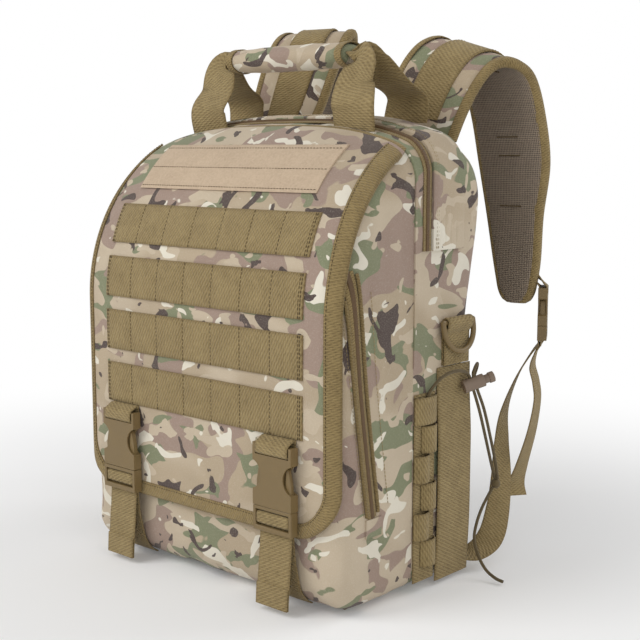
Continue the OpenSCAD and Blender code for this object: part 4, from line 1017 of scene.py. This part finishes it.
def strapFrame(path, side):  # centre line, width direction and thickness direction of a padded strap
    p = evenPath(smoothPath(path, 12), 3.0)
    c, t = p[:, :3], unit(np.gradient(p[:, :3], axis=0))
    turn = np.radians(p[:, 3])
    u = unit(np.stack([np.cos(turn), np.sin(turn), p[:, 4]], 1))
    v = unit(np.cross(t, u))
    flip = np.array([side, 1, 1])
    left = np.linalg.norm(c - c[-1], axis=1)  # how far the tip is: the last of the strap is rounded
    near = np.minimum(left, tipLength) / tipLength
    return c * flip, u * flip, v * flip, p[:, 5] * (0.5 + 0.5 * np.sqrt(1 - (1 - near)**2))


def crossed(frameOf, widths, depths, name, halfInset=0.0, limit=None, start=0, **more):
    # section points given as a share of the half width and a depth, carried along the strap
    c, u, v, w = frameOf
    half = w / 2 - halfInset
    if limit is not None:
        half = np.minimum(half, limit)
    deep = np.broadcast_to(depths, (len(c), len(widths)))
    grid = c[:, None] + u[:, None] * (half[:, None] * widths[None])[..., None] + v[:, None] * deep[..., None]
    run = np.concatenate([[0], np.cumsum(np.linalg.norm(np.diff(c, axis=0), axis=1))])
    uv = np.stack(np.broadcast_arrays(run[:, None], half[:, None] * widths[None]), -1) * 0.001
    edge = np.stack(np.broadcast_arrays((run / run[-1])[:, None], (widths[None] + 1) / 2), -1)
    return ringMesh(name, grid[start:], uv[start:], edge[start:], **more)


for side, word, path in ((1, "right", pathRight), (-1, "left", pathLeft)):
    f = strapFrame(path, side)
    body, title = f"shoulder_{word}", word.title()
    part = np.cos(np.linspace(np.pi, 0, 27))
    plump = 0.5 + 0.5 * np.sqrt(np.clip(1 - np.abs(part)**5, 0, 1))
    widths = np.concatenate([part, part[::-1]])
    depths = np.concatenate([plump * 4.4, -plump[::-1] * 4.3])
    foam = crossed(f, widths, depths, f"strapPad{title}", 0.8, ends="zip", sharp=70)
    swell(foam, 4.5, 3.5, 0.9)
    place(foam, body, "camoStrap", [f"shoulder_pad_{word}"])
    lining = np.cos(np.linspace(np.pi, 0, 19))
    widths = np.concatenate([lining, lining[::-1]])
    depths = np.concatenate([4.6 + 2.4 * np.sqrt(np.clip(1 - np.abs(lining)**4, 0, 1)), np.full(19, 3.6)])
    c, u, v, w = f
    run = np.concatenate([[0], np.cumsum(np.linalg.norm(np.diff(c, axis=0), axis=1))])
    dip = 0.8 * np.exp(-((np.mod(run + 30, 85) - 42.5) / 3.0)**2)[:, None] * (np.arange(38)[None] < 19)
    place(crossed(f, widths, depths[None] - dip, f"strapMesh{title}", 4.0, start=6, sharp=70), body, "mesh",
          [f"shoulder_mesh_{word}"])
    flat = flatOval
    widths = np.concatenate([flat, flat[::-1]])
    rise = 1.0 * (0.3 + 0.7 * np.sqrt(1 - np.abs(flat)**20))
    depths = np.concatenate([-5.3 + rise, -5.5 - rise[::-1]])
    placeWebbing(crossed(f, widths, depths, f"strapWebbing{title}", 5.0, 19.0, start=6), body, f"shoulder_webbing_{word}")
    for e, which in ((-1, "Inner"), (1, "Outer")):  # binding folded over each long edge
        out = np.array([0, 0.35, 0.75, 0.95, 0.95, 0.75, 0.35, 0])
        near = np.array([-6.5, -3, -0.6, 1.0, 1.0, -0.6, -3, -6.5])
        deep = np.array([5.1, 5.2, 4.4, 2.0, -2.0, -4.2, -5.0, -4.9])
        inner = np.array([-6.5, -3, -1.2, -0.2, -0.2, -1.2, -3, -6.5])
        thin = np.array([4.0, 4.0, 3.2, 1.5, -1.5, -3.0, -3.8, -3.8])
        shift = np.concatenate([near, inner[::-1]])
        deep = np.concatenate([deep, thin[::-1]])
        half = w[:, None] / 2 + shift[None]
        grid = c[:, None] + e * u[:, None] * half[..., None] + v[:, None] * np.broadcast_to(deep, half.shape)[..., None]
        thereAndBack = np.concatenate([np.linspace(0, 1, 8), np.linspace(1, 0, 8)])[None]
        uv = np.stack(np.broadcast_arrays(run[:, None], 20 * thereAndBack), -1) * 0.001
        edge = np.stack(np.broadcast_arrays((run / run[-1])[:, None], thereAndBack), -1)
        place(ringMesh(f"strapBinding{which}{title}", grid, uv, edge, sharp=60), body, "binding", ())
    lines = []
    for e in (-1, 1):
        half = np.minimum(w / 2 - 5, 19) - 2.0
        p = (c + e * u * half[:, None] - v * 6.55)[8:-2]
        lines.append((p, -v[8:-2]))
        p = (c + e * u * (w / 2 - 5.6)[:, None] + v * 5.35)[2:-2]
        lines.append((p, v[2:-2]))
    place(stitchMesh(f"strapStitches{title}", lines), body, "thread", ())
    bars = []
    for share in (0.36, 0.55, 0.6, 0.74):  # short needle bars that tack the mesh down
        i = int(share * len(c))
        p = c[i] + u[i] * np.linspace(-11, 11, 12)[:, None] + v[i] * 7.05
        bars.append((p, np.broadcast_to(v[i], p.shape)))
    place(stitchMesh(f"liningBars{title}", bars, 2.1, 2.0, 0.75), body, "darkThread", ())
    lean = math.radians(6)
    axis = np.array([side * math.cos(lean), 0, -math.sin(lean)])
    ends = np.array([side * 92, 100, 400.2])[None] + axis[None] * np.linspace(-41, 41, 30)[:, None]
    radius = np.clip(4.1 * np.sqrt(1 - np.linspace(-0.985, 0.985, 30)**16), 0.5, 4.1)
    place(tubeMesh(f"strapEnd{title}", ends, radius, 16), "bag", "binding", ())

# ---- lower straps: one length from the back's lower corner, round the male half's bar, to the free tail ----
tip = {"x": 176, "y": 186, "z": 226, "turn": 120, "k": 25 / 38}


def tipAt(depth):
    q = math.radians(tip["turn"])
    return tip["x"] + depth * math.sin(q), tip["y"] - depth * math.cos(q)


k = tip["k"]
low = -22 * k - 2
threaded = [(low, 1.2), (-6.1 * k, 1.2), (-6.1 * k, 8), (-15.1 * k, 8), (-15.1 * k, 3.4), (low, 3.4)]
threaded = [(*tipAt(d), tip["z"] + up, 120) for up, d in roundCorners(threaded, 1.4)]
load = [(*tipAt(1.2), 205.5, 120), (171, 184, 197, 118), (158, 179, 172, 115), (149, 173, 140, 106), (152, 164, 110, 92),
        (160, 152, 78, 76), (166, 138, 48, 62), (170, 120, 26, 44), (165, 100, 15, 22), (150, 84.5, 13, 4)]
tail = [(*tipAt(3.4), 205.5, 120), (174, 188, 199, 116), (170, 188, 184, 110), (175, 187, 168, 108), (177, 187, 150, 106),
        (172, 186, 118, 100), (163, 184, 84, 92), (158, 182, 64, 80), (160, 180, 52, 70)]
loadLine, tailLine = (evenPath(smoothPath(line, 8), 1.2) for line in (load[::-1], tail))
splitZ = 130  # the height where each length is divided
loadCut, tailCut = int(np.argmax(loadLine[:, 2] > splitZ)), int(np.argmax(tailLine[:, 2] < splitZ))
low = ("bag", "shoulder_", (0.16, 0.17, 0.03), (0.158, 0.178, 0.128))  # two bodies, and where the change starts and ends
high = ("shoulder_", "shoulder_male_", (0.158, 0.178, 0.132), (0.176, 0.187, 0.2))
lengths = (("Load", loadLine[:loadCut + 1], low), ("Rise", loadLine[loadCut:], high),
           ("Round", evenPath([load[0], *threaded, tail[0]], 1.2), None),
           ("Fall", tailLine[:tailCut + 1], high), ("Tail", tailLine[tailCut:], low))
for side, word in ((-1, "left"), (1, "right")):
    for part, line, joint in lengths:
        turn = np.radians(line[:, 3])
        u = np.stack([side * np.cos(turn), np.sin(turn), 0 * turn], 1)
        strap = strapMesh(f"lowerStrap{part}{word.title()}", line[:, :3] * (side, 1, 1), u, 24.8, 1.5)
        placeWebbing(strap, None if joint else f"shoulder_male_{word}", f"lower_strap_{word}" if part == "Load" else None)
        if joint:
            first, second = (b + word if b.endswith("_") else b for b in joint[:2])
            start, end = joint[2:]
            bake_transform(strap, first, second, start=(side * start[0], *start[1:]), end=(side * end[0], *end[1:]))
# the tab that holds the female half: off the strap's outer face, round the half's top bar and back
tabDown = [(161, 181.6, 300, 0), (161.5, 182, 286, -6), (165.5, 183, 274, -25), (173.5, 185.6, 266.5, -48),
           (177, 186.6, 263, -60)]
tabRound = [(177, 186.6, 263, -60), (177, 186.6, 257.7, -60), (182.8, 189.9, 257.7, -60), (182.8, 189.9, 263, -60)]
tabUp = [(182.8, 189.9, 263, -60), (177, 188.5, 269, -50), (167, 185.2, 279, -22), (162.5, 184, 292, -4)]
tab = evenPath(np.vstack([smoothPath(tabDown, 8), roundCorners(tabRound, 2.0), smoothPath(tabUp, 8)]), 1.2)
turn = np.radians(tab[:, 3])
for side, word in ((-1, "left"), (1, "right")):
    u = np.stack([side * np.cos(turn), np.sin(turn), 0 * turn], 1)
    placeWebbing(strapMesh(f"buckleTab{word.title()}", tab[:, :3] * (side, 1, 1), u, 24.8, 1.5), f"shoulder_{word}")
x, y = np.meshgrid(np.linspace(-42, 42, 40), np.linspace(-7, 7, 9), indexing="ij")
for side, word in ((-1, "Left"), (1, "Right")):
    def yoke(p, q, h):  # the sewn patch below a strap, on the back of the roof
        cx, cz = 92 + p * math.cos(math.radians(6)), 386.1 - p * math.sin(math.radians(6)) + q
        i, drop = -h + 0 * cx, bag["crown"] * (cx / 165)**3
        r = 20 + h
        i = np.where(cx > 145, -h + r - np.sqrt(np.maximum(r * r - (cx - 145)**2, 0)), i)
        sine = np.clip((cz - 347) / (76.5 - i - drop), 0, 1)
        return np.stack([side * cx, 58 + (53 - i) * np.sqrt(1 - sine**2), cz], -1)
    place(layerMesh(f"strapYoke{word}", yoke, x, y, 0.0, 2.1, 0.5), "bag", "binding",
          ["strap_yoke"] if side > 0 else ())
print("straps made")

# ---- bungee cord, lock and sliders ----
cordFront = [(168.2, 19.5, 162), (168.2, 20, 177), (170.5, 29, 189), (173.6, 42, 196), (175.4, 56, 197), (175.2, 68, 194),
             (175.7, 73, 189), (178.3, 76.3, 176), (177, 88, 155), (173, 104, 128), (169, 120, 100), (166.5, 131, 81)]
cordRear = [(168, 89.5, 184), (171, 91, 195), (175.5, 85, 200), (177.4, 78, 196), (177.7, 75.8, 190), (180.3, 79.2, 176.8),
            (179.4, 91.5, 157), (175.5, 107.5, 130), (171.5, 123, 102), (169, 132, 81)]
cordEnd = [(166, 128, 72), (166, 112, 57), (169, 98, 44), (173, 89, 32), (180, 85, 20), (191, 82, 9), (203, 80, 4), (212, 79, 3)]
for name, route, node in (("bungeeFront", cordFront, ["bungee_cord_front"]),
                          ("bungeeRear", cordRear, ["bungee_cord_rear"]), ("bungeeEnd", cordEnd, ())):
    p = evenPath(smoothPath(route, 10), 1.5)
    tube = place(tubeMesh(name, p, 1.5, 10), "bag", "braid", node)
    route = evenPath(p, 6.0) * 0.001
for node, finish in (("cord_lock_barrel", "lock"), ("cord_lock_button", "lock")):
    moulded(node, finish, 0.0006)
for node, finish in (("d_ring_left", "plastic"), ("d_ring_right", "plastic"), ("main_zip_slider", "metal"),
                     ("main_zip_pull", "metal"), ("front_zip_slider", "metal"), ("front_zip_pull", "metal"),
                     ("cord_knot", "braid")):
    nodes[node].data.materials.clear()
    nodes[node].data.materials.append(finishes[finish])

# ---- floor and light ----
def seenDirectly(graph):  # 1 for what the camera sees straight, in a mirror or through glass
    rays = [graph.add("ShaderNodeLightPath", output=k) for k in (0, 3, 6)]
    return rays[0].maths("MAXIMUM", rays[1]).maths("MAXIMUM", rays[2])


def paleFloor(name, colour):  # plain near the bag, so that its shadow shows, and white further off
    g = Graph(name, roughness=0.95, specular=0.1)
    g.shader.inputs["Base Color"].default_value = (*colour, 1)
    far = g.add("ShaderNodeVectorMath", {"operation": "LENGTH"}, {0: g.spot()}, 1)
    white = g.tree.nodes.new("ShaderNodeEmission")
    both = g.tree.nodes.new("ShaderNodeMixShader")
    g.join((far.step(0.62, 0.34) * 0.88 + 0.12) * seenDirectly(g), both.inputs[0])
    g.tree.links.new(g.shader.outputs[0], both.inputs[1])
    g.tree.links.new(white.outputs[0], both.inputs[2])
    g.tree.links.new(both.outputs[0], g.tree.nodes["Material Output"].inputs["Surface"])
    return g.material


floorHalf, floorZ = 9e3, -0.5
floorCorners = np.array([(x * floorHalf, y * floorHalf, floorZ) for x, y in ((-1, -1), (1, -1), (1, 1), (-1, 1))])
floor = meshObject("studioFloor", floorCorners, [[0, 1, 2, 3]])
floor.data.materials.append(paleFloor("studioFloor", studio["floorColour"]))
for name, where, size, power in (("keyLight", (-0.9, -1.7, 1.6), 1.4, studio["key"]),
                                 ("fillLight", (1.9, -0.9, 1.0), 1.8, studio["fill"]),
                                 ("rimLight", (0.9, 1.5, 1.6), 1.2, studio["rim"])):
    lamp = bpy.data.lights.new(name, "AREA")
    lamp.energy, lamp.size = power, size
    holder = bpy.data.objects.new(name, lamp)
    scene.collection.objects.link(holder)
    aimAt(holder, where, (0, 0, 0.22))
world = bpy.data.worlds.new("studioSky")
world.use_nodes = True
scene.world = world
tree = world.node_tree
sky, seen, path = tree.nodes["Background"], tree.nodes.new("ShaderNodeBackground"), tree.nodes.new("ShaderNodeLightPath")
sky.inputs["Color"].default_value, sky.inputs["Strength"].default_value = (1, 1, 1, 1), studio["sky"]
seen.inputs["Color"].default_value, seen.inputs["Strength"].default_value = (1, 1, 1, 1), 1.0
blend = tree.nodes.new("ShaderNodeMixShader")
tree.links.new(path.outputs["Is Camera Ray"], blend.inputs[0])
tree.links.new(sky.outputs[0], blend.inputs[1])
tree.links.new(seen.outputs[0], blend.inputs[2])
tree.links.new(blend.outputs[0], tree.nodes["World Output"].inputs["Surface"])
print("studio made")
